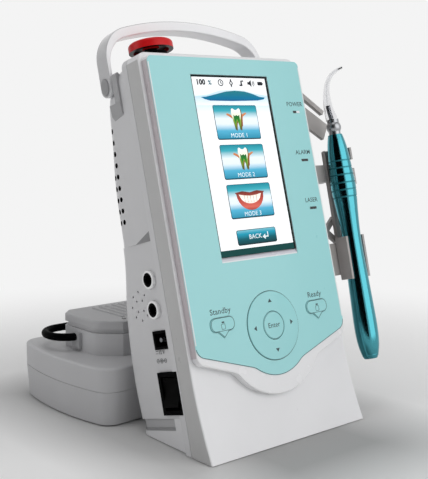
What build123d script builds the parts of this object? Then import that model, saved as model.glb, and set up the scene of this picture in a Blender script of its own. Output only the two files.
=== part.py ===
from build123d import *
import copy
import math
import os

# Every size is in millimetres. The console is drawn upright in its own frame:
# x to the right, d from the face plate back into the body, u up the face.
# Heights called n stand forward of the face, so n is the same as minus d.

# Console shell
LEAN = 15.0
HALF_WIDTH = 75.0
TOP = 279.2
FRONT_DEPTH = 13.9
SEAM = 0.4
FLANGE_DEPTH = 5.7
CORNER = 7.0
WALL = 3.0
CHIN_START = 62.0
CHIN_RADIUS = 315.0
FLOOR_GAP = 0.6
FLOOR_THICKNESS = 3.0
FLANGE_BACK = FRONT_DEPTH + FLANGE_DEPTH
STEP_LOW = 152.6
STEP_HIGH = 159.7
STEP_DEPTH = 1.7
UPPER_HALF = 74.3
UPPER_TAPER = 0.082
LOWER_HALF = 72.6
LOWER_TAPER = 0.035
LIP_HEIGHT = 30.2
GROOVE_LOW = 23.7
GROOVE_DEPTH = 1.6
GROOVE_START = 30.0
BACK_CURVE = [
    (20.0, 276.2),
    (37.0, 271.5),
    (48.5, 260.0),
    (55.2, 231.0),
    (60.7, 202.0),
    (62.7, 172.0),
    (65.2, 139.0),
    (71.0, 115.0),
    (75.3, 88.0),
    (76.8, 60.0),
    (75.6, 36.0),
    (72.6, 14.0),
    (67.6, -12.0),
]
UPPER_ROUND = 10.0
LOWER_ROUND = 8.0

# Face plate and film
PLATE_HALF = 72.3
PLATE_TOP = 275.2
PLATE_THICKNESS = 5.8
FILM_THICKNESS = 0.36
FACE = PLATE_THICKNESS + FILM_THICKNESS
PAD_HEIGHT = 80.9
PLATE_LOBE = 48.0
PLATE_SIDE = 65.1
PLATE_SLOPE = 0.345
FILM_HALF = 72.0
FILM_TOP = 274.9
FILM_LOBE = 35.0
FILM_SIDE = 70.2
FILM_SLOPE = 0.323

# Display
WINDOW_HALF = 36.7
WINDOW_LOW = 129.1
WINDOW_HIGH = 262.6
WINDOW_BEVEL = 3.4
GLASS_DEPTH = 0.7
GLASS_THICKNESS = 1.6
MODULE_HALF = 39.8
MODULE_LOW = 126.2
MODULE_HIGH = 265.9
MODULE_BACK = 4.5
SOFT_GAP = 0.3
RUNNING_GAP = 0.05

# Keys and lamps
PAD_RADIUS = 24.25
PAD_HOLE_GAP = 0.35
ENTER_RADIUS = 9.85
KEY_RISE = 0.7
ARROW_RADIUS = 17.5
PAD_PIN_N = 1.65
PAD_PIN_RADIUS = 0.6
PAD_RIDGE_N = 2.4
PAD_RIDGE_RADIUS = 0.7
SIDE_KEY_X = 46.0
SIDE_KEY_HEIGHT = 87.1
SIDE_KEY_HALF = 10.8
KEY_TRAVEL = 0.7
LAMP_X = 61.5
LAMP_HEIGHTS = [235.5, 198.2, 161.4]
LAMP_HALF = 3.4
LAMP_HALF_HEIGHT = 0.85
BOARD_FRONT = 5.0
BOARD_THICKNESS = 1.6

# Handle
PIVOT_D = 41.3
PIVOT_U = 264.8
HANDLE_HALF = 75.6
STRAP_THICKNESS = 3.4
STRAP_WIDTH = 13.0
CROWN_EXTRA = 4.0
SHOULDER_RADIUS = 26.0
SHOULDER_HEIGHT = 284.1
CROWN_RADIUS = 217.6
HANDLE_TOP = 316.5
PIN_RADIUS = 3.0
PIVOT_BOSS_RADIUS = 6.2
RELIEF_HALF = 71.4

# Stop button
STOP_X = -41.8
STOP_D = 26.0
STOP_TRAVEL = 4.0
STOP_RIM = 288.6
STOP_HEAD_RADIUS = 16.2
STOP_COLLAR_RADIUS = 11.2
STOP_SEAT = 281.5

# Left side fittings
SOCKET_D = 31.2
SOCKET_HEIGHTS = [126.7, 105.6]
SOCKET_RING_RADIUS = 6.45
SOCKET_BODY_RADIUS = 5.0
SOCKET_HOLE_RADIUS = 3.2
JACK_D = 29.1
JACK_HEIGHT = 84.5
JACK_WIDTH = 17.0
JACK_TALL = 13.0
SWITCH_D = 26.8
SWITCH_HEIGHT = 47.6
SWITCH_WIDTH = 23.4
SWITCH_TALL = 29.6
SWITCH_TILT = 7.0
SPEAKER_D = 48.8
SPEAKER_HEIGHT = 109.8
VENT_TOP = 235.4
VENT_PITCH = 8.13
VENT_ROWS = 9
VENT_RADIUS = 1.85
VENT_COLUMN_D = 47.9
VENT_COLUMN_LEAN = 2.9
SECOND_COLUMN_D = 53.8
SECOND_COLUMN_LEAN = 2.2
SECOND_COLUMN_FIRST = 4
FAN_D = 34.6
FAN_HEIGHT = 203.0

# Handpiece and its holder
HANDPIECE_X = 98.0
HANDPIECE_FOOT_N = 3.7
HANDPIECE_FOOT_U = 40.7
HANDPIECE_TILT = 1.45
HANDPIECE_CURVE = [
    (6.45, 3.1),
    (8.15, 10.9),
    (9.0, 24.3),
    (8.65, 42.3),
    (8.0, 65.1),
    (7.35, 96.5),
    (9.35, 126.3),
    (9.8, 132.6),
    (9.65, 140.5),
    (9.0, 149.9),
    (7.85, 164.0),
    (5.5, 175.8),
]
GRIP_GROOVES = [126.3, 131.8, 137.3, 143.6, 149.1, 154.6]
BALL_HEIGHT = 181.7
BALL_RADIUS = 5.65
BORE_RADIUS = 4.6
TIP_CURVE = [
    (-0.9, 6.5),
    (-2.4, 13.0),
    (-2.95, 19.5),
    (-2.4, 26.1),
    (-0.9, 32.0),
    (2.6, 38.2),
    (8.4, 43.3),
    (15.2, 46.7),
    (20.4, 48.5),
]
TIP_RADII = [4.7, 3.9, 3.3, 2.8, 2.3, 2.0, 1.75, 1.45, 1.2]
TIP_WALL = 0.5
CLIP_RADIUS = 8.6
CLIP_THICKNESS = 2.1
CLIP_LOW = 63.0
CLIP_HIGH = 96.0
CLIP_BACK = 7.4
CRADLE_RADIUS = 10.2
CRADLE_LOW = 136.0
CRADLE_HIGH = 165.0
CRADLE_NOTCH_LOW = 148.6
CRADLE_NOTCH_HIGH = 155.5

# Foot pedal, drawn in the room frame: y to the rear, z up
PEDAL_Y = 160.0
PEDAL_HALF_DEPTH = 61.2
PEDAL_LEFT = -84.4
PEDAL_RIGHT = 74.0
PEDAL_BULGE = 8.3
PEDAL_ROUND = 14.0
PEDAL_SPLIT = 25.9
PEDAL_TOP = 44.4
PEDAL_WALL = 2.6
FOOT_HEIGHT = 1.2
TOWER_LEFT = -69.0
TOWER_RIGHT = 58.0
TOWER_FRONT = 123.7
TOWER_REAR = 188.5
SHOULDER_Z = 61.5
NECK_TOP = 65.5
NECK_INSET = 1.8
SKIRT_LOW = 64.9
CEILING = 68.7
TREADLE_TOP = 71.3
RIB_HEIGHT = 0.8
TREADLE_PIN_X = 46.0
TREADLE_PIN_Z = 56.0
HOOP_RADIUS = 3.0
HOOP_NEAR = 161.4
HOOP_FAR = 197.9
HOOP_BEND_X = -66.7
HOOP_END_X = -38.0
HOOP_Z = 55.4


def flat(points):
    """A flat face bounded by straight lines."""
    return make_face(Polyline(points, close=True))


def block(x0, x1, d0, d1, u0, u1):
    """A box between two corners."""
    middle = Pos((x0 + x1) / 2, (d0 + d1) / 2, (u0 + u1) / 2)
    return middle * Box(abs(x1 - x0), abs(d1 - d0), abs(u1 - u0))


def raised(sketch, n0, n1):
    """A sketch drawn in x and u, standing from height n0 to n1 on the face."""
    return extrude(Plane.XZ.offset(n0) * sketch, n1 - n0)


def sideways(sketch, x0, x1):
    """A sketch drawn in d and u, drawn out from x0 to x1."""
    return extrude(Plane.YZ.offset(x0) * sketch, x1 - x0)


def upright(sketch, u0, u1):
    """A sketch drawn in x and d, drawn up from u0 to u1."""
    return extrude(Plane.XY.offset(u0) * sketch, u1 - u0)


def face_disc(x, u, radius, n0, n1):
    """A round piece standing on the face."""
    return raised(Pos(x, u) * Circle(radius), n0, n1)


def side_disc(d, u, radius, x0, x1):
    """A round piece lying along x."""
    return sideways(Pos(d, u) * Circle(radius), x0, x1)


def post(x, d, radius, u0, u1):
    """A round piece standing along u."""
    return upright(Pos(x, d) * Circle(radius), u0, u1)


def joined(pieces):
    """One shape made of several pieces."""
    whole = pieces[0]
    for piece in pieces[1:]:
        whole = whole + piece
    return whole


def both_sides(piece):
    """A piece and its mirror image about the middle plane."""
    return piece + mirror(piece, about=Plane.YZ)


def above_floor(height):
    """All room above a level height, seen in the console's own frame."""
    return Rot(X=LEAN) * (Pos(0, 100, height + 400) * Box(800, 1200, 800))


def leaned(shape):
    """A console piece moved from its own frame to the room frame."""
    return Rot(X=-LEAN) * shape


def inset_curve(points, inset):
    """The points of a curve moved towards its inner side."""
    moved = []
    last = len(points) - 1
    for index, (d, u) in enumerate(points):
        before = points[max(index - 1, 0)]
        after = points[min(index + 1, last)]
        run = after[0] - before[0]
        fall = after[1] - before[1]
        length = math.hypot(run, fall)
        moved.append((d + inset * fall / length, u - inset * run / length))
    return moved


def slab_face(inset, back):
    """The side view of the front slab with its flared chin."""
    low = -12.0
    radius = CHIN_RADIUS + inset
    start = (inset, CHIN_START)
    drop = [CHIN_START - 34.0, low]
    on_arc = []
    for u in drop:
        flare = radius - math.sqrt(radius ** 2 - (CHIN_START - u) ** 2)
        on_arc.append((inset - flare, u))
    chin = ThreePointArc(start, on_arc[0], on_arc[1])
    rest = Polyline(
        on_arc[1],
        (back, low),
        (back, TOP - inset),
        (inset, TOP - inset),
        start,
    )
    return make_face(chin + rest)


def slab(inset, front_back, corner):
    """The front slab, drawn out and rounded at its two top corners."""
    body = sideways(slab_face(inset, front_back), -HALF_WIDTH + inset, HALF_WIDTH - inset)
    top_corners = body.edges().filter_by(Axis.Y).group_by(Axis.Z)[-1]
    return fillet(top_corners, corner)


def flange(inset, corner, drop=0.0):
    """The strip of the rear housing that carries on the slab's outline."""
    body = block(
        -HALF_WIDTH + inset,
        HALF_WIDTH - inset,
        FRONT_DEPTH,
        FLANGE_BACK,
        -12.0,
        TOP - inset - drop,
    )
    top_corners = body.edges().filter_by(Axis.Y).group_by(Axis.Z)[-1]
    return fillet(top_corners, corner)


def hump_side(inset):
    """The side view of the rear hump."""
    curve = inset_curve(BACK_CURVE, inset)
    start = curve[0]
    end = curve[-1]
    back = Spline(*curve)
    rest = Polyline(end, (FRONT_DEPTH, end[1]), (FRONT_DEPTH, start[1]), start)
    return make_face(back + rest)


def wall_plan(half, taper, inset):
    """The plan of the hump between its two tapering walls."""
    near = half + taper * (FLANGE_BACK - FRONT_DEPTH) - inset
    far = half - taper * (90.0 - FLANGE_BACK) - inset
    return flat([(-near, FRONT_DEPTH), (near, FRONT_DEPTH), (far, 90.0), (-far, 90.0)])


def rear_edges(body):
    """The two long edges where the walls meet the back."""
    def on_back(edge):
        middle = edge.position_at(0.5)
        return abs(middle.X) > 60.0 and middle.Y > 25.0 and edge.length > 60.0
    return body.edges().filter_by(on_back)


def hump(inset, tighten=1.0):
    """The rear hump: a lower and an upper half with a slanting step between."""
    side = sideways(hump_side(inset), -90.0, 90.0)
    lower = side & upright(wall_plan(LOWER_HALF, LOWER_TAPER, inset), -30.0, STEP_LOW)
    lower = fillet(rear_edges(lower), max(LOWER_ROUND - tighten * inset, 1.5))
    upper = side & upright(wall_plan(UPPER_HALF, UPPER_TAPER, inset), STEP_LOW, 300.0)
    upper = fillet(rear_edges(upper), max(UPPER_ROUND - tighten * inset, 1.5))
    edge = LOWER_HALF - inset
    wedge = flat(
        [
            (edge, STEP_LOW),
            (edge + 6, STEP_LOW),
            (edge + 6, STEP_HIGH),
            (edge + STEP_DEPTH, STEP_HIGH),
        ]
    )
    cutter = raised(wedge, -100.0, -FLANGE_BACK)
    return lower + (upper - both_sides(cutter))


def relief():
    """The pockets beside the two handle legs, open upwards and to the rear."""
    outline = flat([(33.6, 300.0), (33.6, 257.4), (38.8, 257.4), (70.0, 246.0), (70.0, 300.0)])
    return both_sides(sideways(outline, RELIEF_HALF, RELIEF_HALF + 6.0))


def lobed(half, top, side, slope, lobe, corner, blend):
    """The outline of the plate or film: square above, a round lobe below."""
    middle = side - half * slope
    body = flat([(-half, top), (half, top), (half, side), (0, middle), (-half, side)])
    body = body + Pos(0, PAD_HEIGHT) * Circle(lobe)
    joints = body.vertices().filter_by(lambda v: 10 < abs(v.X) < half - 1 and v.Y < PAD_HEIGHT)
    body = fillet(joints, blend)
    low_corners = body.vertices().filter_by(lambda v: abs(v.X) > half - 1 and v.Y < side + 5)
    body = fillet(low_corners, corner)
    top_corners = body.vertices().filter_by(lambda v: v.Y > top - 1)
    return fillet(top_corners, 4.0)


def side_key_outline(x, grow):
    """A key with a round top and a pointed lower flap."""
    half = SIDE_KEY_HALF + grow
    top = Pos(x, SIDE_KEY_HEIGHT + 1.2) * RectangleRounded(2 * half, 9.4 + 2 * grow, 4.2 + grow)
    flap = flat(
        [
            (x - half + 3.0, SIDE_KEY_HEIGHT - 1.0),
            (x + half - 3.0, SIDE_KEY_HEIGHT - 1.0),
            (x, SIDE_KEY_HEIGHT - 8.2 - grow),
        ]
    )
    return top + flap


def lamp_slots(grow, n0, n1):
    """Three small bars, one for each lamp."""
    bars = []
    for height in LAMP_HEIGHTS:
        bar = Pos(LAMP_X, height) * Rectangle(2 * (LAMP_HALF + grow), 2 * (LAMP_HALF_HEIGHT + grow))
        bars.append(raised(bar, n0, n1))
    return joined(bars)


def key_openings(n0, n1):
    """Room for the round pad, the two side keys and the lamps."""
    openings = [
        face_disc(0, PAD_HEIGHT, PAD_RADIUS + PAD_HOLE_GAP, n0, n1),
        raised(side_key_outline(-SIDE_KEY_X, SOFT_GAP), n0, n1),
        raised(side_key_outline(SIDE_KEY_X, SOFT_GAP), n0, n1),
        lamp_slots(0.1, n0, n1),
    ]
    return joined(openings)


def module_opening(n0, n1):
    """The rectangular room for the display module."""
    gap = SOFT_GAP
    return block(-MODULE_HALF - gap, MODULE_HALF + gap, -n1, -n0, MODULE_LOW - gap, MODULE_HIGH + gap)


def board_posts(radius, d0, d1):
    """Four posts that carry the control board."""
    posts = []
    for x in (-59.0, 59.0):
        for u in (60.0, 116.0):
            posts.append(face_disc(x, u, radius, -d1, -d0))
    return joined(posts)


def front_housing():
    """The white front shell with its flared chin."""
    shell = slab(0, FRONT_DEPTH, CORNER)
    front_edges = shell.edges().filter_by(
        lambda e: abs(e.position_at(0.5).Y) < 0.05 and e.position_at(0.5).Z > CHIN_START + 1
    )
    shell = chamfer(front_edges, 0.7)
    hollow = slab(WALL, FRONT_DEPTH + 1.0, CORNER - WALL) & above_floor(FLOOR_GAP + FLOOR_THICKNESS)
    shell = (shell & above_floor(FLOOR_GAP)) - hollow
    shell = shell - module_opening(-WALL - 1, 1) - key_openings(-WALL - 1, 1)
    shell = shell + board_posts(3.2, WALL - 0.5, BOARD_FRONT)
    shell = shell - board_posts(1.3, WALL, BOARD_FRONT + 1)
    seam = block(-90, 90, FRONT_DEPTH - SEAM, FRONT_DEPTH + 1, -40, 300)
    shell = shell - (seam - slab(SEAM, FRONT_DEPTH + 2, CORNER - SEAM))
    return shell - handle_free_feet(0.1)


def handle_free_feet(grow):
    """The four foot pads, seen in the console's frame."""
    return Rot(X=LEAN) * feet(grow)


def feet(grow):
    """Four round rubber feet in the room frame."""
    pads = []
    for x in (-60.0, 60.0):
        for y in (5.6, 63.0):
            pads.append(Pos(x, y, 0.8) * Cylinder(5.6 + grow, 1.6))
    return joined(pads)


def front_plate():
    """The raised plate on the front, with its pockets."""
    outline = lobed(PLATE_HALF, PLATE_TOP, PLATE_SIDE, PLATE_SLOPE, PLATE_LOBE, 8.0, 10.0)
    plate = raised(outline, 0, PLATE_THICKNESS) - sideways(slab_face(0, FRONT_DEPTH), -90, 90)
    rim = plate.edges().filter_by(lambda e: e.position_at(0.5).Y < -PLATE_THICKNESS + 0.01)
    plate = chamfer(rim, 0.5)
    window = flat(
        [
            (-WINDOW_HALF, WINDOW_LOW + WINDOW_BEVEL),
            (WINDOW_HALF, WINDOW_LOW + WINDOW_BEVEL),
            (WINDOW_HALF, WINDOW_HIGH),
            (-WINDOW_HALF, WINDOW_HIGH),
        ]
    )
    plate = plate - raised(window, 0, FACE)
    glass_front = FACE - GLASS_DEPTH
    glass_back = glass_front - GLASS_THICKNESS
    sill = flat(
        [
            (-FACE - 0.1, WINDOW_LOW),
            (-glass_back - 0.6, WINDOW_LOW + WINDOW_BEVEL + 0.1),
            (-FACE - 0.1, WINDOW_LOW + WINDOW_BEVEL + 0.1),
        ]
    )
    plate = plate - sideways(sill, -WINDOW_HALF, WINDOW_HALF)
    plate = plate - module_opening(-1, glass_back)
    plate = plate - side_disc(-PAD_PIN_N, PAD_HEIGHT, PAD_PIN_RADIUS + RUNNING_GAP, -26.2, 26.2)
    return plate - key_openings(-1, FACE + 1)


def front_overlay():
    """The coloured film over the plate."""
    outline = lobed(FILM_HALF, FILM_TOP, FILM_SIDE, FILM_SLOPE, FILM_LOBE, 8.0, 16.0)
    film = raised(outline, PLATE_THICKNESS, FACE)
    film = film - block(-WINDOW_HALF, WINDOW_HALF, -FACE - 1, 0, WINDOW_LOW, WINDOW_HIGH)
    return film - key_openings(0, FACE + 1)


def lcd_glass():
    """The clear cover of the display."""
    front = FACE - GLASS_DEPTH
    edge = 0.2
    half = WINDOW_HALF - edge
    low = WINDOW_LOW + WINDOW_BEVEL + edge
    return block(-half, half, -front, -front + GLASS_THICKNESS, low, WINDOW_HIGH - edge)


def lcd_module():
    """The display module: a framed panel with a board behind."""
    front = FACE - GLASS_DEPTH - GLASS_THICKNESS
    step = MODULE_BACK - 1.6
    layers = [(0.0, -front, 0.5), (3.0, 0.5, step), (1.0, step, MODULE_BACK)]
    pieces = []
    for inset, d0, d1 in layers:
        half = MODULE_HALF - inset
        pieces.append(block(-half, half, d0, d1, MODULE_LOW + inset, MODULE_HIGH - inset))
    return joined(pieces)


def indicator_lenses():
    """Three clear light guides that end flush with the film."""
    bars = lamp_slots(0, -BOARD_FRONT + 0.2, FACE + 0.1)
    low = LAMP_HEIGHTS[2] - 2
    high = LAMP_HEIGHTS[0] + 2
    return bars + block(LAMP_X - 2.5, LAMP_X + 2.5, WALL + 0.2, WALL + 1.4, low, high)


def control_board():
    """The circuit board behind the keys, with an arm up to the lamps."""
    back = BOARD_FRONT + BOARD_THICKNESS
    board = block(-64, 64, BOARD_FRONT, back, 56, 121)
    arm = block(LAMP_X - 5, LAMP_X + 4.5, BOARD_FRONT, back, 121, LAMP_HEIGHTS[0] + 7)
    chips = [
        block(-30, -14, back, back + 1.8, 84, 100),
        block(6, 20, back, back + 1.4, 70, 84),
        block(28, 52, back, back + 5.0, 98, 108),
    ]
    holes = board_posts(1.5, BOARD_FRONT - 1, back + 1)
    return joined([board, arm] + chips) - holes


def board_screws():
    """Four screws that hold the control board."""
    back = BOARD_FRONT + BOARD_THICKNESS
    shanks = board_posts(1.2, WALL + 0.2, back)
    heads = board_posts(2.6, back, back + 1.8)
    slots = board_posts(0.9, back + 0.8, back + 2.0)
    return shanks + heads - slots


def pad_parts():
    """The tilting carrier, the arrow ring and the middle key."""
    carrier = face_disc(0, PAD_HEIGHT, PAD_RADIUS - 0.6, 0.9, 2.4)
    carrier = carrier + side_disc(-PAD_PIN_N, PAD_HEIGHT, PAD_PIN_RADIUS, -25.8, 25.8)
    for low in (PAD_HEIGHT - 22.0, PAD_HEIGHT + 12.0):
        carrier = carrier + post(0, -PAD_RIDGE_N, PAD_RIDGE_RADIUS, low, low + 10.0)
    carrier = carrier - face_disc(0, PAD_HEIGHT, ENTER_RADIUS + 0.6, 0, 4)
    top = FACE + KEY_RISE
    ring = face_disc(0, PAD_HEIGHT, PAD_RADIUS, 3.2, top)
    ring = fillet(ring.edges().group_by(Axis.Y)[0], 0.5)
    ring = ring - face_disc(0, PAD_HEIGHT, ENTER_RADIUS + 0.4, 0, 10)
    arrow = flat([(-1.9, -1.1), (1.9, -1.1), (0, 1.5)])
    for turn in range(4):
        spot = Pos(0, PAD_HEIGHT) * Rot(Z=90 * turn) * Pos(0, ARROW_RADIUS)
        ring = ring - raised(spot * arrow, top - 0.2, top + 1)
    for turn in range(4):
        angle = math.radians(45 + 90 * turn)
        x = 19.0 * math.cos(angle)
        u = PAD_HEIGHT + 19.0 * math.sin(angle)
        carrier = carrier + face_disc(x, u, 1.2, 2.4, 2.7)
    enter = face_disc(0, PAD_HEIGHT, ENTER_RADIUS, 1.6, top + 0.3)
    enter = fillet(enter.edges().group_by(Axis.Y)[0], 0.5)
    enter = enter + face_disc(0, PAD_HEIGHT, 3.0, -0.6, 1.6)
    return carrier, ring, enter


def side_key(x):
    """One of the two keys beside the pad."""
    key = raised(side_key_outline(x, 0), 0.8, FACE + KEY_RISE)
    rim = key.edges().group_by(Axis.Y)[0]
    key = chamfer(rim, 0.3)
    return key + face_disc(x, SIDE_KEY_HEIGHT, 2.5, -0.6, 0.8)


def key_domes():
    """Rubber pads on the board below each key."""
    low = -BOARD_FRONT
    pads = [face_disc(0, PAD_HEIGHT, 4.0, low, -0.6 - KEY_TRAVEL - 0.1)]
    for x in (-SIDE_KEY_X, SIDE_KEY_X):
        pads.append(face_disc(x, SIDE_KEY_HEIGHT, 3.5, low, -0.6 - KEY_TRAVEL - 0.1))
    for turn in range(4):
        angle = math.radians(90 * turn)
        x = ARROW_RADIUS * math.cos(angle)
        u = PAD_HEIGHT + ARROW_RADIUS * math.sin(angle)
        pads.append(face_disc(x, u, 3.0, low, 0.2))
    sheet = block(-56, 56, BOARD_FRONT - 0.6, BOARD_FRONT, 62, 100)
    return joined(pads) + sheet


def side_openings():
    """Every hole through the left wall."""
    holes = [
        block(-80, -60, SWITCH_D - 10.1, SWITCH_D + 10.1, SWITCH_HEIGHT - 12.8, SWITCH_HEIGHT + 12.8),
        block(
            -80,
            -70.9,
            SWITCH_D - SWITCH_WIDTH / 2 - 0.1,
            SWITCH_D + SWITCH_WIDTH / 2 + 0.1,
            SWITCH_HEIGHT - SWITCH_TALL / 2 - 0.1,
            SWITCH_HEIGHT + SWITCH_TALL / 2 + 0.1,
        ),
        block(
            -80,
            -60,
            JACK_D - JACK_WIDTH / 2 - 0.1,
            JACK_D + JACK_WIDTH / 2 + 0.1,
            JACK_HEIGHT - JACK_TALL / 2 - 0.1,
            JACK_HEIGHT + JACK_TALL / 2 + 0.1,
        ),
    ]
    for u in SOCKET_HEIGHTS:
        holes.append(side_disc(SOCKET_D, u, SOCKET_BODY_RADIUS + 0.1, -80, -60))
        holes.append(side_disc(SOCKET_D, u, SOCKET_RING_RADIUS + 0.1, -80, -71.4))
    for row in range(VENT_ROWS):
        u = VENT_TOP - row * VENT_PITCH
        d = VENT_COLUMN_D + VENT_COLUMN_LEAN * row / (VENT_ROWS - 1)
        holes.append(side_disc(d, u, VENT_RADIUS, -80, -50))
    for row in range(SECOND_COLUMN_FIRST, VENT_ROWS):
        u = VENT_TOP - row * VENT_PITCH
        share = (row - SECOND_COLUMN_FIRST) / (VENT_ROWS - 1 - SECOND_COLUMN_FIRST)
        holes.append(side_disc(SECOND_COLUMN_D + SECOND_COLUMN_LEAN * share, u, VENT_RADIUS, -80, -50))
    for count, reach, turn in ((8, 10.2, 0.0), (4, 5.1, 45.0)):
        for index in range(count):
            angle = math.radians(turn + index * 360 / count)
            d = SPEAKER_D + reach * math.cos(angle)
            u = SPEAKER_HEIGHT + reach * math.sin(angle)
            holes.append(side_disc(d, u, 0.9, -80, -60))
    return holes


def rear_housing():
    """The white rear shell with its step, lip, vents and handle pockets."""
    outer = flange(0, CORNER) + (hump(0) & above_floor(0))
    hollow = (flange(WALL, CORNER - WALL, 4.0) + hump(WALL, 2.0)) & above_floor(FLOOR_GAP + FLOOR_THICKNESS)
    hollow = hollow + block(-68, 68, FRONT_DEPTH - 1, FRONT_DEPTH + 1, 0, TOP - WALL - 8)
    boss = post(STOP_X, STOP_D, 13.2, 262.0, STOP_SEAT) & block(-90, 90, FRONT_DEPTH, 90, 200, 300)
    outer = outer + boss
    hollow = hollow - (boss & block(-90, 90, 0, 90, 268.0, 300.0))
    shell = outer - hollow
    shell = shell + both_sides(side_disc(PIVOT_D, PIVOT_U, PIVOT_BOSS_RADIUS, 62.0, RELIEF_HALF))
    below_lip = block(-90, 90, FLANGE_BACK, 100, -40, LIP_HEIGHT)
    shell = shell - below_lip
    shell = shell & above_floor(FLOOR_GAP)
    shell = shell - relief()
    shell = shell - both_sides(side_disc(PIVOT_D, PIVOT_U, PIN_RADIUS, 60, 80))
    shell = shell - post(STOP_X, STOP_D, 7.1, 240, 300)
    for hole in side_openings():
        shell = shell - hole
    return shell


def base_skirt():
    """The lower tray behind the flange, with its two-step groove."""
    gap = 0.1
    outer = hump(0) & block(-90, 90, FLANGE_BACK + gap, 100, -40, LIP_HEIGHT - gap)
    outer = outer & above_floor(FLOOR_GAP)
    band = block(-90, 90, GROOVE_START, 100, GROOVE_LOW, LIP_HEIGHT)
    outer = outer - (band - hump(GROOVE_DEPTH))
    half_band = block(-90, 90, GROOVE_START, 100, GROOVE_LOW - 2.0, GROOVE_LOW + 0.1)
    outer = outer - (half_band - hump(GROOVE_DEPTH / 2))
    hollow = hump(WALL + 1.2, 1.5) & above_floor(FLOOR_GAP + FLOOR_THICKNESS)
    hollow = hollow & block(-90, 90, FLANGE_BACK + gap + 2.5, 100, -40, LIP_HEIGHT + 1)
    tray = outer - hollow
    return tray - handle_free_feet(0.1)


def base_screw_spots():
    """Where the four screws under the console stand, in the room frame."""
    return [(-40.0, 34.0), (-40.0, 54.0), (40.0, 34.0), (40.0, 54.0)]


def base_weight():
    """A steel plate low in the console, in the room frame."""
    low = FLOOR_GAP + FLOOR_THICKNESS
    plate = Pos(0, 44.5, low + 3.0) * Box(112, 35, 6.0)
    for x, y in base_screw_spots():
        plate = plate - Pos(x, y, low) * Cylinder(1.45, 8.0)
    return plate


def chassis_plate():
    """The sheet that carries the inner units."""
    plate = block(-60, 60, FRONT_DEPTH + 1.2, FRONT_DEPTH + 2.7, 62, 240)
    tab = block(-67, 67, FRONT_DEPTH + 1.2, FRONT_DEPTH + 2.7, 140, 160)
    ear = block(-66, -60, FRONT_DEPTH + 1.2, FRONT_DEPTH + 2.7, FAN_HEIGHT - 14, FAN_HEIGHT + 14)
    return plate + tab + ear


def battery_pack():
    """Two rows of cells in a shrunk sleeve."""
    front = FRONT_DEPTH + 2.7
    cells = []
    for index in range(4):
        cells.append(post(-18 + index * 18.6, front + 9.2, 9.2, 64, 132))
    tray = block(-18, 37.8, front, front + 5.0, 64, 132)
    return joined(cells) + tray


def laser_block():
    """The light source in its metal housing with a fibre port."""
    front = FRONT_DEPTH + 2.7
    body = block(-20, 24, front, front + 22, 190, 216)
    body = fillet(body.edges().filter_by(Axis.Y), 2.0)
    port = side_disc(front + 11, 203, 4.0, 24, 34) + side_disc(front + 11, 203, 2.6, 34, 40)
    return body + port


def heat_sink():
    """A finned block between the fan and the light source."""
    front = FRONT_DEPTH + 2.7
    sink = block(-24, -20, front, front + 26, 187, 219)
    for index in range(7):
        u = 187 + index * 5.07
        sink = sink + block(-54, -24, front, front + 26, u, u + 1.6)
    return sink


def fan_frame():
    """The square frame of the fan, with four spokes and a bearing disc."""
    half = 16.0
    x0 = -66.4
    x1 = -58.4
    frame = block(x0, x1, FAN_D - half, FAN_D + half, FAN_HEIGHT - half, FAN_HEIGHT + half)
    frame = fillet(frame.edges().filter_by(Axis.X), 2.0)
    frame = frame - side_disc(FAN_D, FAN_HEIGHT, 14.8, x0 - 1, x1 + 1)
    reach = half - 0.5
    spokes = block(x1 - 1.4, x1, FAN_D - reach, FAN_D + reach, FAN_HEIGHT - 1.2, FAN_HEIGHT + 1.2)
    spokes = spokes + block(x1 - 1.4, x1, FAN_D - 1.2, FAN_D + 1.2, FAN_HEIGHT - reach, FAN_HEIGHT + reach)
    disc = side_disc(FAN_D, FAN_HEIGHT, 5.0, x1 - 1.4, x1)
    shaft = side_disc(FAN_D, FAN_HEIGHT, 1.2, x0 + 2.5, x1)
    arm = block(x0 + 1.5, x1 - 0.5, FRONT_DEPTH + 2.7, FAN_D - half + 1, FAN_HEIGHT - 6, FAN_HEIGHT + 6)
    return frame + spokes + disc + shaft + arm


def fan_rotor():
    """The fan wheel with seven blades."""
    x0 = -65.4
    x1 = -60.8
    hub = side_disc(FAN_D, FAN_HEIGHT, 5.2, x0, x1)
    blade = Box(0.9, 9.4, 5.0)
    wheel = hub
    for index in range(7):
        turn = Pos(0, FAN_D, FAN_HEIGHT) * Rot(X=index * 360 / 7)
        swept = turn * Pos((x0 + x1) / 2, 9.3, 0) * Rot(Y=38) * blade
        wheel = wheel + swept
    keep = side_disc(FAN_D, FAN_HEIGHT, 14.2, x0, x1)
    return (wheel & keep) - side_disc(FAN_D, FAN_HEIGHT, 1.2 + RUNNING_GAP, x0 - 1, x1 + 1)


def speaker_driver():
    """The small round speaker behind the hole pattern."""
    inner = -LOWER_HALF + WALL + 1.4
    body = side_disc(SPEAKER_D, SPEAKER_HEIGHT, 11.4, inner + 1.0, inner + 3.0)
    back = side_disc(SPEAKER_D, SPEAKER_HEIGHT, 7.0, inner + 3.0, inner + 7.0)
    return body + back


def socket_parts():
    """Two round sockets: dark bodies and bright rings."""
    bodies = []
    rings = []
    for u in SOCKET_HEIGHTS:
        body = side_disc(SOCKET_D, u, SOCKET_BODY_RADIUS, -74.2, -58)
        bodies.append(body - side_disc(SOCKET_D, u, SOCKET_HOLE_RADIUS, -75, -62))
        ring = side_disc(SOCKET_D, u, SOCKET_RING_RADIUS, -74.6, -71.5)
        ring = fillet(ring.edges().group_by(Axis.X)[0], 0.6)
        rings.append(ring - side_disc(SOCKET_D, u, SOCKET_BODY_RADIUS, -76, -70))
    return joined(bodies), joined(rings)


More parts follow.
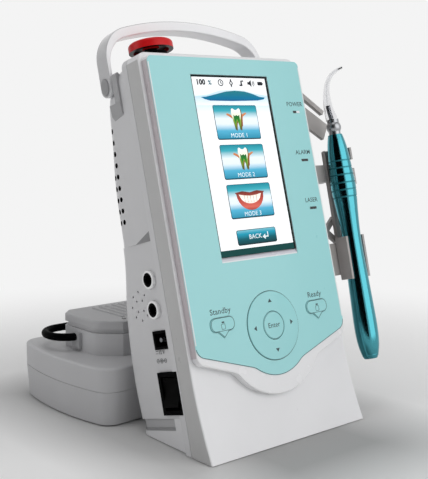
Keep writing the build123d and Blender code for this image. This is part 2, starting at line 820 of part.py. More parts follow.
def jack_parts():
    """The square supply inlet and its pin."""
    body = block(
        -73.2,
        -58,
        JACK_D - JACK_WIDTH / 2,
        JACK_D + JACK_WIDTH / 2,
        JACK_HEIGHT - JACK_TALL / 2,
        JACK_HEIGHT + JACK_TALL / 2,
    )
    hollow = block(-74, -62, JACK_D - 6.4, JACK_D + 6.4, JACK_HEIGHT - 4.6, JACK_HEIGHT + 4.6)
    pin = side_disc(JACK_D + 1.0, JACK_HEIGHT, 1.5, -72.2, -60)
    return body - hollow - pin, pin


def switch_parts():
    """The power switch: its frame and the rocking key."""
    bezel = block(
        -74.2,
        -71.0,
        SWITCH_D - SWITCH_WIDTH / 2,
        SWITCH_D + SWITCH_WIDTH / 2,
        SWITCH_HEIGHT - SWITCH_TALL / 2,
        SWITCH_HEIGHT + SWITCH_TALL / 2,
    )
    centre = SWITCH_HEIGHT
    bezel = bezel + block(-71.0, -54, SWITCH_D - 10, SWITCH_D + 10, centre - 12.7, centre + 12.7)
    bezel = bezel - block(-80, -60, SWITCH_D - 8.6, SWITCH_D + 8.6, centre - 11.6, centre + 11.6)
    axle_place = Pos(-68.4, SWITCH_D, centre) * Rot(X=90)
    axle = axle_place * Cylinder(1.6, 18.4)
    bezel = bezel - axle_place * Cylinder(1.6 + RUNNING_GAP, 18.8)
    outline = flat(
        [
            (-74.6, SWITCH_HEIGHT - 10.0),
            (-72.8, SWITCH_HEIGHT),
            (-74.6, SWITCH_HEIGHT + 10.0),
            (-68.4, SWITCH_HEIGHT + 10.6),
            (-65.8, SWITCH_HEIGHT),
            (-68.4, SWITCH_HEIGHT - 10.6),
        ]
    )
    key = raised(outline, -SWITCH_D - 8.2, -SWITCH_D + 8.2) + axle
    tilt = Pos(-68.4, 0, SWITCH_HEIGHT) * Rot(Y=SWITCH_TILT) * Pos(68.4, 0, -SWITCH_HEIGHT)
    return bezel, tilt * key


def stop_parts():
    """The stop button: collar, stem, head and the contact block below."""
    ceiling = STOP_RIM + 2.8
    collar = post(STOP_X, STOP_D, STOP_COLLAR_RADIUS, STOP_SEAT, STOP_RIM - 1.9)
    collar = collar + post(STOP_X, STOP_D, 7.0, 262.0, STOP_SEAT)
    collar = collar - post(STOP_X, STOP_D, 4.5 + RUNNING_GAP, 255, 300)
    collar = collar - post(STOP_X, STOP_D, 6.4, STOP_RIM + 0.6 - STOP_TRAVEL, 300)
    stem = post(STOP_X, STOP_D, 4.5, 261.5, STOP_RIM + 0.6)
    stem = stem + post(STOP_X, STOP_D, 3.0, STOP_RIM + 0.6, ceiling + 1.6)
    head = post(STOP_X, STOP_D, STOP_HEAD_RADIUS, STOP_RIM, STOP_RIM + 6.4)
    head = fillet(head.edges().group_by(Axis.Z)[-1], 2.6)
    head = head - post(STOP_X, STOP_D, 13.0, STOP_RIM - 1, ceiling)
    head = head + post(STOP_X, STOP_D, 6.0, STOP_RIM + 0.8, ceiling + 0.2)
    head = head - post(STOP_X, STOP_D, 3.0 + RUNNING_GAP, STOP_RIM - 1, ceiling + 1.8)
    contact = block(STOP_X - 9, STOP_X + 9, STOP_D - 8, STOP_D + 9, 241.5, 256.8)
    contact = contact + post(STOP_X + 6.4, STOP_D + 6.4, 1.4, 256.8, 261.0)
    collar = collar - post(STOP_X, STOP_D, 5.2, 255, 270)
    return collar, stem, head, contact


def handle():
    """The carrying bail: two thin legs, two shoulders and a thicker shallow crown."""
    def outline(inset):
        half = HANDLE_HALF - inset
        shoulder = SHOULDER_RADIUS - inset
        crown = CROWN_RADIUS - inset
        centre_u = HANDLE_TOP - CROWN_RADIUS
        centre_x = HANDLE_HALF - SHOULDER_RADIUS
        angle = math.asin(centre_x / (CROWN_RADIUS - SHOULDER_RADIUS))
        meet = (crown * math.sin(angle), centre_u + crown * math.cos(angle))
        mid_angle = math.radians(45)
        mid = (centre_x + shoulder * math.sin(mid_angle), SHOULDER_HEIGHT + shoulder * math.cos(mid_angle))
        top = (0, HANDLE_TOP - inset)
        right = ThreePointArc((half, SHOULDER_HEIGHT), mid, meet)
        crown_arc = ThreePointArc(meet, top, (-meet[0], meet[1]))
        left = ThreePointArc((-meet[0], meet[1]), (-mid[0], mid[1]), (-half, SHOULDER_HEIGHT))
        low = PIVOT_U
        sides = Polyline((-half, SHOULDER_HEIGHT), (-half, low), (half, low), (half, SHOULDER_HEIGHT))
        return make_face(right + crown_arc + left + sides)

    def long_edge(edge):
        middle = edge.position_at(0.5)
        on_side = abs(abs(middle.Y - PIVOT_D) - STRAP_WIDTH / 2) < 0.01
        return on_side and middle.Z > SHOULDER_HEIGHT - 15

    strap = outline(0) - Pos(0, -CROWN_EXTRA) * outline(STRAP_THICKNESS)
    bail = raised(strap, -PIVOT_D - STRAP_WIDTH / 2, -PIVOT_D + STRAP_WIDTH / 2)
    end = side_disc(PIVOT_D, PIVOT_U, STRAP_WIDTH / 2, HANDLE_HALF - STRAP_THICKNESS, HANDLE_HALF)
    bail = bail + both_sides(end)
    bail = bail - both_sides(side_disc(PIVOT_D, PIVOT_U, PIN_RADIUS + RUNNING_GAP, 70, 80))
    return fillet(bail.edges().filter_by(long_edge), 0.9)


def handle_pins():
    """Two fixed pivot pins with their washers."""
    pin = side_disc(PIVOT_D, PIVOT_U, PIN_RADIUS, 62.0, HANDLE_HALF - 0.2)
    washer = side_disc(PIVOT_D, PIVOT_U, 5.6, RELIEF_HALF, HANDLE_HALF - STRAP_THICKNESS - 0.1)
    return both_sides(pin + washer)


def handle_caps():
    """Two oval caps on the outside of the handle legs."""
    cap = sideways(Pos(PIVOT_D, PIVOT_U + 1.0) * Ellipse(4.3, 6.2), HANDLE_HALF, HANDLE_HALF + 1.1)
    cap = fillet(cap.edges().group_by(Axis.X)[-1], 0.5)
    return both_sides(cap)


def handle_brackets():
    """The ribs in front of the legs and the wedges under them."""
    rib = block(RELIEF_HALF + 0.3, 75.2, 27.6, 33.4, 252.0, 273.0)
    rib = chamfer(rib.edges().filter_by(Axis.Y).group_by(Axis.Z)[-1], 1.4)
    inner = RELIEF_HALF + 0.3
    wedge = flat([(inner, 240.0), (74.6, 244.0), (75.4, 252.0), (inner, 252.0)])
    foot = raised(wedge, -40.5, -27.6)
    return both_sides(rib + foot) - (hump(0) - relief())


def handpiece_frame(shape):
    """A piece drawn along its own axis, set into the console's frame."""
    return Pos(HANDPIECE_X, -HANDPIECE_FOOT_N, HANDPIECE_FOOT_U) * Rot(X=HANDPIECE_TILT) * shape


def handpiece_body():
    """The waisted grip with its ring grooves, bored through."""
    curve = [(radius, height) for radius, height in HANDPIECE_CURVE]
    low = curve[0]
    high = curve[-1]
    outline = Spline(*curve) + Polyline(high, (0, high[1]), (0, low[1]), low)
    body = revolve(Plane.XZ * make_face(outline), Axis.Z)
    body = body - Pos(0, 0, 90) * Cylinder(BORE_RADIUS, 200)
    for height in GRIP_GROOVES:
        reach = 8.95 if height < 127 else min(9.35, 9.5 - 0.055 * (height - 132))
        outer = Pos(0, 0, height) * Cylinder(12.0, 1.1)
        body = body - (outer - Pos(0, 0, height) * Cylinder(reach, 1.2))
    return body


def handpiece_parts():
    """Everything above and below the grip."""
    stem = BORE_RADIUS - 0.05
    low = BALL_HEIGHT - math.sqrt(BALL_RADIUS ** 2 - stem ** 2)
    high = BALL_HEIGHT + math.sqrt(BALL_RADIUS ** 2 - stem ** 2)
    ball = ThreePointArc((stem, low), (BALL_RADIUS, BALL_HEIGHT), (stem, high))
    top = BALL_HEIGHT + 6.2
    rest = Polyline((stem, high), (stem, top), (0, top), (0, 169.0), (stem, 169.0), (stem, low))
    neck = revolve(Plane.XZ * make_face(ball + rest), Axis.Z)
    points = [Vector(x, 0, BALL_HEIGHT + z) for x, z in TIP_CURVE]
    path = Spline(*points)
    outer = []
    inner = []
    for index, radius in enumerate(TIP_RADII):
        share = index / (len(TIP_RADII) - 1)
        spot = Plane(origin=path @ share, z_dir=path % share)
        outer.append(spot * Circle(radius))
        inner.append(spot * Circle(radius - TIP_WALL))
    hollow = loft(inner)
    sleeve = loft(outer) - hollow
    ferrule_path = Spline(*[path @ (0.005 + 0.05 * step) for step in range(5)])
    ferrule = sweep(Plane(origin=ferrule_path @ 0, z_dir=ferrule_path % 0) * Circle(1.75), ferrule_path)
    fibre_path = Spline(*[path @ (0.215 + 0.0785 * step) for step in range(11)])
    fibre = sweep(Plane(origin=fibre_path @ 0, z_dir=fibre_path % 0) * Circle(0.5), fibre_path)
    sleeve = sleeve - neck
    ferrule = ferrule - neck
    cap = revolve(Plane.XZ * flat([(0, 0), (5.1, 0), (6.4, 2.4), (6.4, 3.1), (0, 3.1)]), Axis.Z)
    cap = cap + Pos(0, 0, 6.0) * Cylinder(BORE_RADIUS - 0.05, 6.0)
    return neck, sleeve, ferrule, fibre, cap


def gutter(radius, thickness, left_reach, right_reach, low, high):
    """A U that opens forward, drawn about the handpiece axis."""
    ring = Circle(radius + thickness) - Circle(radius)
    back = ring & (Pos(0, 30) * Rectangle(80, 60))
    left = Pos(-radius - thickness / 2, -left_reach / 2) * Rectangle(thickness, left_reach)
    right = Pos(radius + thickness / 2, -right_reach / 2) * Rectangle(thickness, right_reach)
    return upright(back + left + right, low, high)


def clip_corner():
    """The square rear left corner of the lower clip, about the handpiece axis."""
    reach = CLIP_RADIUS + CLIP_THICKNESS
    corner = Pos(-reach / 2, CLIP_BACK / 2) * Rectangle(reach, CLIP_BACK)
    return upright(corner - Circle(CLIP_RADIUS), CLIP_LOW, CLIP_HIGH)


def cradle_shape():
    """The upper cradle: a back and a notched right wall, open at the left."""
    cradle = gutter(CRADLE_RADIUS, 2.1, 1.0, 3.4, CRADLE_LOW, CRADLE_HIGH)
    cradle = cradle - block(-20, -6, -20, 20, CRADLE_LOW - 1, CRADLE_HIGH + 1)
    return cradle - block(6, 20, -20, 20, CRADLE_NOTCH_LOW, CRADLE_NOTCH_HIGH)


def bar(start, end, thickness, d0, d1):
    """A slanting flat bar between two points given in x and u."""
    run = end[0] - start[0]
    rise = end[1] - start[1]
    length = math.hypot(run, rise)
    angle = math.degrees(math.atan2(rise, run))
    middle = Pos((start[0] + end[0]) / 2, (start[1] + end[1]) / 2)
    return raised(middle * Rot(Z=angle) * Rectangle(length, thickness), -d1, -d0)


def holder_parts():
    """The grey holder on the right wall: frame, clip and screws."""
    rail = block(HALF_WIDTH, HALF_WIDTH + 2.6, 2.2, 11.2, 100, 262)
    rail = fillet(rail.edges().filter_by(Axis.X), 2.5)
    wall = HALF_WIDTH + 1.8
    back = CRADLE_RADIUS + 1.0
    spine = handpiece_frame(block(-3.2, 3.2, back, back + 3.2, CLIP_HIGH - 6, CRADLE_HIGH))
    arm = block(HALF_WIDTH + 2.0, HANDPIECE_X - 4.0, 2.4, 11.0, 181.5, 195.0)
    strut = bar((wall, 134.6), (HANDPIECE_X + 1.0, 153.3), 4.0, 8.8, 12.0)
    second = bar((88.0, 143.5), (HANDPIECE_X + 2.0, 133.0), 4.0, 8.8, 12.0)
    hook = bar((wall, 258.0), (105.0, 238.0), 3.6, 6.2, 9.6)
    brace = bar((wall, 240.6), (105.0, 222.4), 14.0, 7.2, 10.2)
    frame = joined([rail, arm, strut, second, hook, brace])
    spare = handpiece_frame(Pos(0, 0, 150) * Cylinder(CRADLE_RADIUS, 40))
    frame = (frame - spare) + handpiece_frame(cradle_shape()) + spine
    frame = frame - block(0, HALF_WIDTH, -60, 60, 0, 300)
    clip = gutter(CLIP_RADIUS, CLIP_THICKNESS, 4.0, 3.5, CLIP_LOW, CLIP_HIGH) + clip_corner()
    clip = handpiece_frame(clip)
    web = block(HALF_WIDTH + 2.6, HANDPIECE_X - 3.0, 2.4, 6.0, 108, 133)
    web = web - handpiece_frame(Pos(0, 0, 80) * Cylinder(CLIP_RADIUS + 0.2, 60))
    clip = clip + web
    frame = frame - clip
    heads = []
    for u in (104.5, 171.0, 209.0):
        head = side_disc(6.7, u, 2.4, HALF_WIDTH + 2.6, HALF_WIDTH + 4.0)
        head = head - block(HALF_WIDTH + 3.3, HALF_WIDTH + 5, 6.3, 7.1, u - 2, u + 2)
        shank = side_disc(6.7, u, 1.4, HALF_WIDTH - 6.0, HALF_WIDTH + 2.6)
        heads.append(head + shank)
    screws = joined(heads)
    holes = joined([side_disc(6.7, u, 1.4, HALF_WIDTH - 6.1, HALF_WIDTH + 5) for u in (104.5, 171.0, 209.0)])
    return frame - holes, clip, screws, holes


def pedal_outline(grow):
    """The plan of the pedal: bulging ends and straight long sides."""
    left = PEDAL_LEFT - grow
    right = PEDAL_RIGHT + grow
    front = PEDAL_Y - PEDAL_HALF_DEPTH - grow
    rear = PEDAL_Y + PEDAL_HALF_DEPTH + grow
    near = front + 7.0
    far = rear - 7.0
    left_arc = ThreePointArc((left, front), (left - PEDAL_BULGE, PEDAL_Y), (left, rear))
    right_arc = ThreePointArc((right, far), (right + 6.0, PEDAL_Y), (right, near))
    lines = Line((left, rear), (right, far)) + Line((right, near), (left, front))
    face = make_face(left_arc + lines + right_arc)
    return fillet(face.vertices(), PEDAL_ROUND + grow)


def tower_outline(inset):
    """The plan of the raised block, with one chamfered corner on each side."""
    left = TOWER_LEFT + inset
    right = TOWER_RIGHT - inset
    front = TOWER_FRONT + inset
    rear = TOWER_REAR - inset
    cut = 16.0
    return flat(
        [
            (left, front + cut + 3),
            (left + 3.4, front + cut - 4),
            (left + cut, front),
            (right - 8, front),
            (right, front + 8),
            (right, rear - 8),
            (right - 8, rear),
            (left + 8, rear),
            (left, rear - 8),
        ]
    )


def pedal_screw_spots():
    """Where the four case screws stand."""
    return [(-66.0, 118.0), (-66.0, 202.0), (58.0, 118.0), (58.0, 202.0)]


def pedal_base():
    """The lower tray of the pedal, narrowing towards the floor."""
    body = extrude(Plane.XY.offset(PEDAL_SPLIT) * pedal_outline(0), -(PEDAL_SPLIT - FOOT_HEIGHT), taper=4)
    room = upright(pedal_outline(-PEDAL_WALL - 2.0), FOOT_HEIGHT + PEDAL_WALL, PEDAL_SPLIT + 1)
    tray = body - room
    for x, y in pedal_screw_spots():
        tray = tray + post(x, y, 4.0, FOOT_HEIGHT + 1, PEDAL_SPLIT - 0.4)
        tray = tray - post(x, y, 1.6, FOOT_HEIGHT - 1, PEDAL_SPLIT + 1)
        tray = tray - post(x, y, 3.1, FOOT_HEIGHT - 1, FOOT_HEIGHT + 2.2)
    for x, y in pedal_feet_spots():
        tray = tray - post(x, y, 6.1, FOOT_HEIGHT - 1, FOOT_HEIGHT + 0.8)
    return tray


def pedal_feet_spots():
    """Where the four rubber feet lie."""
    return [(-58.0, 112.0), (-58.0, 208.0), (42.0, 112.0), (42.0, 208.0)]


def pedal_feet():
    """The rubber feet of the pedal."""
    return joined([post(x, y, 6.0, 0, FOOT_HEIGHT + 0.8) for x, y in pedal_feet_spots()])


def pedal_cover():
    """The upper shell of the pedal with its raised block and neck."""
    rim = upright(pedal_outline(0), PEDAL_SPLIT + 0.4, PEDAL_TOP)
    rim = fillet(rim.edges().group_by(Axis.Z)[-1], 2.2)
    lip = upright(pedal_outline(-0.5), PEDAL_SPLIT, PEDAL_SPLIT + 0.4)
    tower = upright(tower_outline(0), PEDAL_TOP - 3, SHOULDER_Z)
    neck = upright(tower_outline(NECK_INSET), SHOULDER_Z - 1, NECK_TOP)
    cover = rim + lip + tower + neck
    cover = cover - upright(pedal_outline(-PEDAL_WALL - 2.0), PEDAL_SPLIT - 1, PEDAL_TOP - PEDAL_WALL)
    cover = cover - upright(tower_outline(NECK_INSET + PEDAL_WALL), PEDAL_TOP - PEDAL_WALL - 1, NECK_TOP + 1)
    for x, y in pedal_screw_spots():
        cover = cover + post(x, y, 4.0, PEDAL_SPLIT, PEDAL_TOP - PEDAL_WALL)
        cover = cover - post(x, y, 1.6, PEDAL_SPLIT - 1, PEDAL_TOP - PEDAL_WALL - 2)
    for y0 in (TOWER_FRONT + 4.0, TOWER_REAR - 10.0):
        lug = block(TREADLE_PIN_X - 6, TREADLE_PIN_X + 6, y0, y0 + 6.0, PEDAL_TOP - 1, TREADLE_PIN_Z + 4)
        cover = cover + lug
    shelf = block(TOWER_LEFT + 3.0, -40, PEDAL_Y - 30, PEDAL_Y + 20, PEDAL_TOP - PEDAL_WALL, PEDAL_TOP)
    cover = cover + shelf
    return cover - pin_shape(2.0, 60.0)


def treadle():
    """The ribbed plate that the foot presses, with its skirt and lugs."""
    cap = upright(tower_outline(0), SKIRT_LOW, TREADLE_TOP)
    cap = fillet(cap.edges().group_by(Axis.Z)[-1], 1.2)
    cap = cap - upright(tower_outline(NECK_INSET - 0.5), SKIRT_LOW - 1, CEILING)
    for index in range(12):
        x = -44.0 + index * 6.4
        rib = block(x, x + 2.6, TOWER_FRONT + 14, TOWER_REAR - 8, TREADLE_TOP - 0.5, TREADLE_TOP + RIB_HEIGHT)
        cap = cap + chamfer(rib.edges().group_by(Axis.Z)[-1], 0.5)
    for y0 in (TOWER_FRONT + 10.6, TOWER_REAR - 16.6):
        lug = block(TREADLE_PIN_X - 4.5, TREADLE_PIN_X + 4.5, y0, y0 + 6.0, TREADLE_PIN_Z - 4, CEILING + 1)
        cap = cap + lug
    cap = cap - pin_shape(2.0 + RUNNING_GAP)
    pusher = block(-56, -50, PEDAL_Y - 9, PEDAL_Y - 1, 60.4, CEILING + 1)
    cap = cap + pusher
    lamp_hole = post(-46.4, TOWER_FRONT + 8.0, 1.7, TREADLE_TOP - 1.4, TREADLE_TOP + 1)
    return cap - lamp_hole


def pin_shape(radius, length=56.0):
    """A round bar along the hinge line of the pedal plate."""
    middle = (TOWER_FRONT + TOWER_REAR) / 2
    return Pos(TREADLE_PIN_X, middle, TREADLE_PIN_Z) * Rot(X=90) * Cylinder(radius, length)


def treadle_springs():
    """Two torsion springs wound on the hinge pin."""
    coils = []
    for y in (TOWER_FRONT + 19.0, TOWER_REAR - 28.0):
        coil = Helix(pitch=1.7, height=8.5, radius=3.2)
        wire = sweep(Plane(origin=coil @ 0, z_dir=coil % 0) * Circle(0.6), coil)
        coils.append(Pos(TREADLE_PIN_X, y, TREADLE_PIN_Z) * Rot(X=-90) * wire)
    return joined(coils)


def pedal_switch():
    """The switch that the plate works, on the shelf of the cover."""
    body = block(-60, -42, PEDAL_Y - 13, PEDAL_Y + 3, PEDAL_TOP, PEDAL_TOP + 10.0)
    button = block(-55, -51, PEDAL_Y - 7, PEDAL_Y - 3, PEDAL_TOP + 10.0, 57.5)
    return body + button


def carry_hoop():
    """The black loop beside the raised block."""
    radius = (HOOP_FAR - HOOP_NEAR) / 2
    middle = (HOOP_FAR + HOOP_NEAR) / 2
    start_x = TOWER_LEFT - 2.0
    start_y = middle - math.sqrt(radius ** 2 - (start_x - HOOP_BEND_X) ** 2)
    start = (start_x, start_y, HOOP_Z)
    end = (HOOP_BEND_X, HOOP_FAR, HOOP_Z)
    turn = ThreePointArc(start, (HOOP_BEND_X - radius, middle, HOOP_Z), end)
    leg = Line(end, (HOOP_END_X, HOOP_FAR, HOOP_Z))
    section = Plane(origin=turn @ 0, z_dir=turn % 0) * Circle(HOOP_RADIUS)
    return sweep(section, turn + leg)


def hoop_brackets():
    """The plate at the near end of the loop and the saddle at its far end."""
    plate = block(TOWER_LEFT - 3.0, TOWER_LEFT, HOOP_NEAR - 4.8, HOOP_NEAR + 4.8, 47.0, 59.0)
    plate = plate + block(TOWER_LEFT - 1.2, TOWER_LEFT, HOOP_NEAR - 4.8, HOOP_NEAR + 4.8, 46.0, 59.0)
    saddle = block(HOOP_END_X - 10.0, HOOP_END_X + 2.0, TOWER_REAR, HOOP_FAR + 4.4, 49.0, HOOP_Z + 3.8)
    return (plate + saddle) - carry_hoop()


def pedal_screws():
    """Four case screws put in from below."""
    screws = []
    for x, y in pedal_screw_spots():
        head = post(x, y, 3.0, FOOT_HEIGHT + 0.2, FOOT_HEIGHT + 2.2)
        shank = post(x, y, 1.5, FOOT_HEIGHT + 2.2, PEDAL_TOP - PEDAL_WALL - 2.4)
        cross = block(x - 2, x + 2, y - 0.4, y + 0.4, FOOT_HEIGHT, FOOT_HEIGHT + 1.0)
        screws.append(head + shank - cross)
    return joined(screws)


def pedal_lamp():
    """The small lamp in the pedal plate."""
    lamp = post(-46.4, TOWER_FRONT + 8.0, 1.6, TREADLE_TOP - 1.4, TREADLE_TOP + 0.4)
    return fillet(lamp.edges().group_by(Axis.Z)[-1], 0.4)


def base_screws():
    """Four screws under the console, seen in the room frame."""
    screws = []
    for x, y in base_screw_spots():
        screws.append(Pos(x, y, 1.7) * Cylinder(2.6, 1.8) + Pos(x, y, 4.1) * Cylinder(1.4, 3.0))
    return joined(screws)


pieces = {}


def save(name, shape):
    """Keep one piece under its name until all are drawn."""
    pieces[name] = shape


def write_all():
    """Centre the whole object on the floor and write each piece to its own file."""
    box = Compound(children=[copy.copy(piece) for piece in pieces.values()]).bounding_box()
    shift = Pos(-(box.min.X + box.max.X) / 2, -(box.min.Y + box.max.Y) / 2, -box.min.Z)
    os.makedirs("parts", exist_ok=True)
    for name, piece in pieces.items():
        export_step(shift * piece, "parts/" + name + ".step")


def console_shells():
    """The shells, with every screw hole that their fittings need."""
    frame, clip, screws, holes = holder_parts()
    save("holder_frame", leaned(frame))
    save("holder_clip", leaned(clip))
    save("holder_screws", leaned(screws))
    save("front_housing", leaned(front_housing() - holes))
    save("rear_housing", leaned(rear_housing()))
    skirt = leaned(base_skirt())
    for x, y in base_screw_spots():
        skirt = skirt - Pos(x, y, 0) * Cylinder(2.7, 5.2) - Pos(x, y, 2) * Cylinder(1.45, 8)
    save("base_skirt", skirt)
    save("console_feet", feet(0))
    save("base_weight", base_weight())
    save("base_screws", base_screws())


def face_parts():
    """The plate, the film, the display and the keys."""
    carrier, ring, enter = pad_parts()
    save("front_plate", leaned(front_plate()))
    save("front_overlay", leaned(front_overlay()))
    save("lcd_glass", leaned(lcd_glass()))
    save("lcd_module", leaned(lcd_module()))
    save("indicator_lenses", leaned(indicator_lenses()))
    save("control_board", leaned(control_board()))
    save("board_screws", leaned(board_screws()))
    save("key_domes", leaned(key_domes()))
    save("dpad_carrier", leaned(carrier))
    save("dpad_ring", leaned(ring))
    save("enter_key", leaned(enter))
    save("standby_key", leaned(side_key(-SIDE_KEY_X)))
    save("ready_key", leaned(side_key(SIDE_KEY_X)))


def inner_parts():
    """The units inside the console."""
    save("chassis_plate", leaned(chassis_plate()))
    save("battery_pack", leaned(battery_pack()))
    save("laser_block", leaned(laser_block()))
    save("heat_sink", leaned(heat_sink()))
    save("fan_frame", leaned(fan_frame()))
    save("fan_rotor", leaned(fan_rotor()))
    save("speaker_driver", leaned(speaker_driver()))


def outer_parts():
    """The fittings on the left side and on top."""
    bodies, rings = socket_parts()
    jack, pin = jack_parts()
    bezel, rocker = switch_parts()
    collar, stem, head, contact = stop_parts()
    save("socket_bodies", leaned(bodies))
    save("socket_rings", leaned(rings))
    save("dc_jack", leaned(jack))
    save("dc_jack_pin", leaned(pin))
    save("switch_bezel", leaned(bezel))
    save("power_rocker", leaned(rocker))
    save("estop_collar", leaned(collar))
    save("estop_stem", leaned(stem))
    save("estop_head", leaned(head))
    save("estop_contact_block", leaned(contact))
    save("handle", leaned(handle()))
    save("handle_pins", leaned(handle_pins()))
    save("handle_caps", leaned(handle_caps()))
    save("handle_brackets", leaned(handle_brackets()))


def handpiece():
    """The handpiece, resting in its holder."""
    neck, sleeve, ferrule, fibre, cap = handpiece_parts()
    save("handpiece_body", leaned(handpiece_frame(handpiece_body())))
    save("handpiece_neck", leaned(handpiece_frame(neck)))
    save("clear_tip", leaned(handpiece_frame(sleeve)))
    save("tip_ferrule", leaned(handpiece_frame(ferrule)))
    save("tip_fibre", leaned(handpiece_frame(fibre)))
    save("handpiece_end_cap", leaned(handpiece_frame(cap)))


def pedal():
    """The foot pedal behind the console."""
    save("pedal_base", pedal_base())
    save("pedal_cover", pedal_cover())
    save("pedal_treadle", treadle())
    save("treadle_pin", pin_shape(2.0))
    save("treadle_springs", treadle_springs())
    save("pedal_switch", pedal_switch())
    save("carry_hoop", carry_hoop())
    save("hoop_brackets", hoop_brackets())
    save("pedal_feet", pedal_feet())
    save("pedal_screws", pedal_screws())
    save("pedal_lamp", pedal_lamp())


console_shells()
face_parts()
inner_parts()
outer_parts()
handpiece()
pedal()
write_all()
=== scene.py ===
import math
import bmesh
import bpy
from mathutils import Matrix, Vector


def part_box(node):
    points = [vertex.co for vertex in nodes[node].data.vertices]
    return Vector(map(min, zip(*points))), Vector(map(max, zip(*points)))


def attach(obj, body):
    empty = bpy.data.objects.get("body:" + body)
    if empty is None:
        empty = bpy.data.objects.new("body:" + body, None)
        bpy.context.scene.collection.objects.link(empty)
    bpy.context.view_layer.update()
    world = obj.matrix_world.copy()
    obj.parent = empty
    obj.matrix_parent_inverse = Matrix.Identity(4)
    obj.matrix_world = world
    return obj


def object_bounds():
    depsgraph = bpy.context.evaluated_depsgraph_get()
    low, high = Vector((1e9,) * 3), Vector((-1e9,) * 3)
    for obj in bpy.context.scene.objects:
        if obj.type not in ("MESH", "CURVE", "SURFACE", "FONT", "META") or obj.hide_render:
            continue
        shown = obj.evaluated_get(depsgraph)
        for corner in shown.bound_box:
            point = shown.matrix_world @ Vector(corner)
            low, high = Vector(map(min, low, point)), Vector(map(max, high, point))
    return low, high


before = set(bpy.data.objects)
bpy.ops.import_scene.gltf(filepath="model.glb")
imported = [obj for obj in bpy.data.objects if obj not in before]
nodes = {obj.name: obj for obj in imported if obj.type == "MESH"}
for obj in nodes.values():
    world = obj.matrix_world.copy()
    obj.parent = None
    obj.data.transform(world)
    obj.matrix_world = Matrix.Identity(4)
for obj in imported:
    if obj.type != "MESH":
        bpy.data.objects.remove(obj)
cad_low, cad_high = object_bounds()

MM = 0.001
LEAN = math.radians(15)

# From the foot of the face back to the pin of the foot plate, in metres
FACE_TO_PIN = 0.1561

# Heights above the face, in millimetres
FILM_FRONT = 6.16
GLASS_FRONT = 5.46
KEY_TOP = 6.86
ENTER_TOP = 7.16
PRINT = 0.05

# Distances from the middle plane, depths behind the face and heights up it, in millimetres
BAND_EDGE = 74.8
BORDER_EDGE = 72.1
VENT_WALL = 66.0
VENTS_BEHIND = 27.0
TRAY_BEHIND = 30.0
STEP_SPAN = (152.0, 160.2)
SILL_SPAN = (126.0, 134.5)
VENT_SPAN = (160.0, 240.0)
OUTER_GROOVE = (23.7, 40.0)
INNER_GROOVE = (21.7, 23.7)
SOCKET_HEIGHTS = (126.7, 105.6)
SOCKET_DEPTH = 31.2
SOCKET_MOUTH = 5.0
LAMP_HEIGHTS = (235.5, 198.2, 161.4)
PAD_HEIGHT = 80.9
SIDE_KEY = 46.0

# The left wall's lower half: half the width at a depth behind the face, and its slope
WALL_HALF = 72.6
WALL_BEHIND = 25.7
WALL_TAPER = 0.035

# The handpiece's grip: its axis leans by an angle from a point on the face's frame
GRIP_LEAN = math.radians(1.45)
GRIP_FOOT = (98.0, 40.7, 3.7)
GRIP_GROOVES = (126.3, 131.8, 137.3, 143.6, 149.1, 154.6)
GROOVE_HALF = 0.62

# The middle of the handle's arch on the face's frame
ARCH_MIDDLE = (0, 225, -41.3)


def srgb(red, green, blue):
    """A colour given as 0 to 255 turned into linear values."""
    values = []
    for part in (red, green, blue):
        part = part / 255
        values.append(part / 12.92 if part < 0.04045 else ((part + 0.055) / 1.055) ** 2.4)
    return values


def face_matrix():
    """The frame of the face: x to the right, u up the face, n out of it, in millimetres."""
    low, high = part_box("front_housing")
    pin_low, pin_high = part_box("treadle_pin")
    shift_x = (low.x + high.x) / 2
    shift_y = (pin_low.y + pin_high.y) / 2 - FACE_TO_PIN
    sine, cosine = math.sin(LEAN), math.cos(LEAN)
    axes = Matrix(((1, 0, 0, 0), (0, sine, -cosine, 0), (0, cosine, sine, 0), (0, 0, 0, 1)))
    return Matrix.Translation((shift_x, shift_y, 0)) @ axes @ Matrix.Scale(MM, 4)


FACE = face_matrix()
MIDDLE_X = FACE.to_translation().x


def facing(x, u, n):
    """A direction on the face's frame as a direction in the room."""
    return (FACE.to_3x3() @ Vector((x, u, n))).normalized()


# Materials

def feed(tree, socket, value):
    """Give an input a value or the link of a socket."""
    if isinstance(value, bpy.types.NodeSocket):
        tree.links.new(value, socket)
    else:
        socket.default_value = value


def number(tree, operation, *values):
    """One step of arithmetic on numbers."""
    node = tree.nodes.new("ShaderNodeMath")
    node.operation = operation
    for socket, value in zip(node.inputs, values):
        feed(tree, socket, value)
    return node.outputs["Value"]


def vector(tree, operation, *values):
    """One step of arithmetic on vectors. A length or a dot product is a number."""
    node = tree.nodes.new("ShaderNodeVectorMath")
    node.operation = operation
    for socket, value in zip(node.inputs, values):
        feed(tree, socket, value)
    return node.outputs["Value" if operation in ("LENGTH", "DOT_PRODUCT") else "Vector"]


def true_normal(tree):
    """The flat normal of a face."""
    return tree.nodes.new("ShaderNodeNewGeometry").outputs["True Normal"]


def part_of(tree, value, axis):
    """One axis of a vector."""
    axes = tree.nodes.new("ShaderNodeSeparateXYZ")
    tree.links.new(value, axes.inputs["Vector"])
    return axes.outputs[axis]


def scaled(tree, value, start, end, low=0.0, high=1.0):
    """A value that goes from one number to another as its source goes from a start to an end."""
    node = tree.nodes.new("ShaderNodeMapRange")
    for name, amount in (("From Min", start), ("From Max", end), ("To Min", low), ("To Max", high)):
        node.inputs[name].default_value = amount
    tree.links.new(value, node.inputs["Value"])
    return node.outputs["Result"]


def largest(tree, values):
    """The largest of some numbers."""
    found = values[0]
    for value in values[1:]:
        found = number(tree, "MAXIMUM", found, value)
    return found


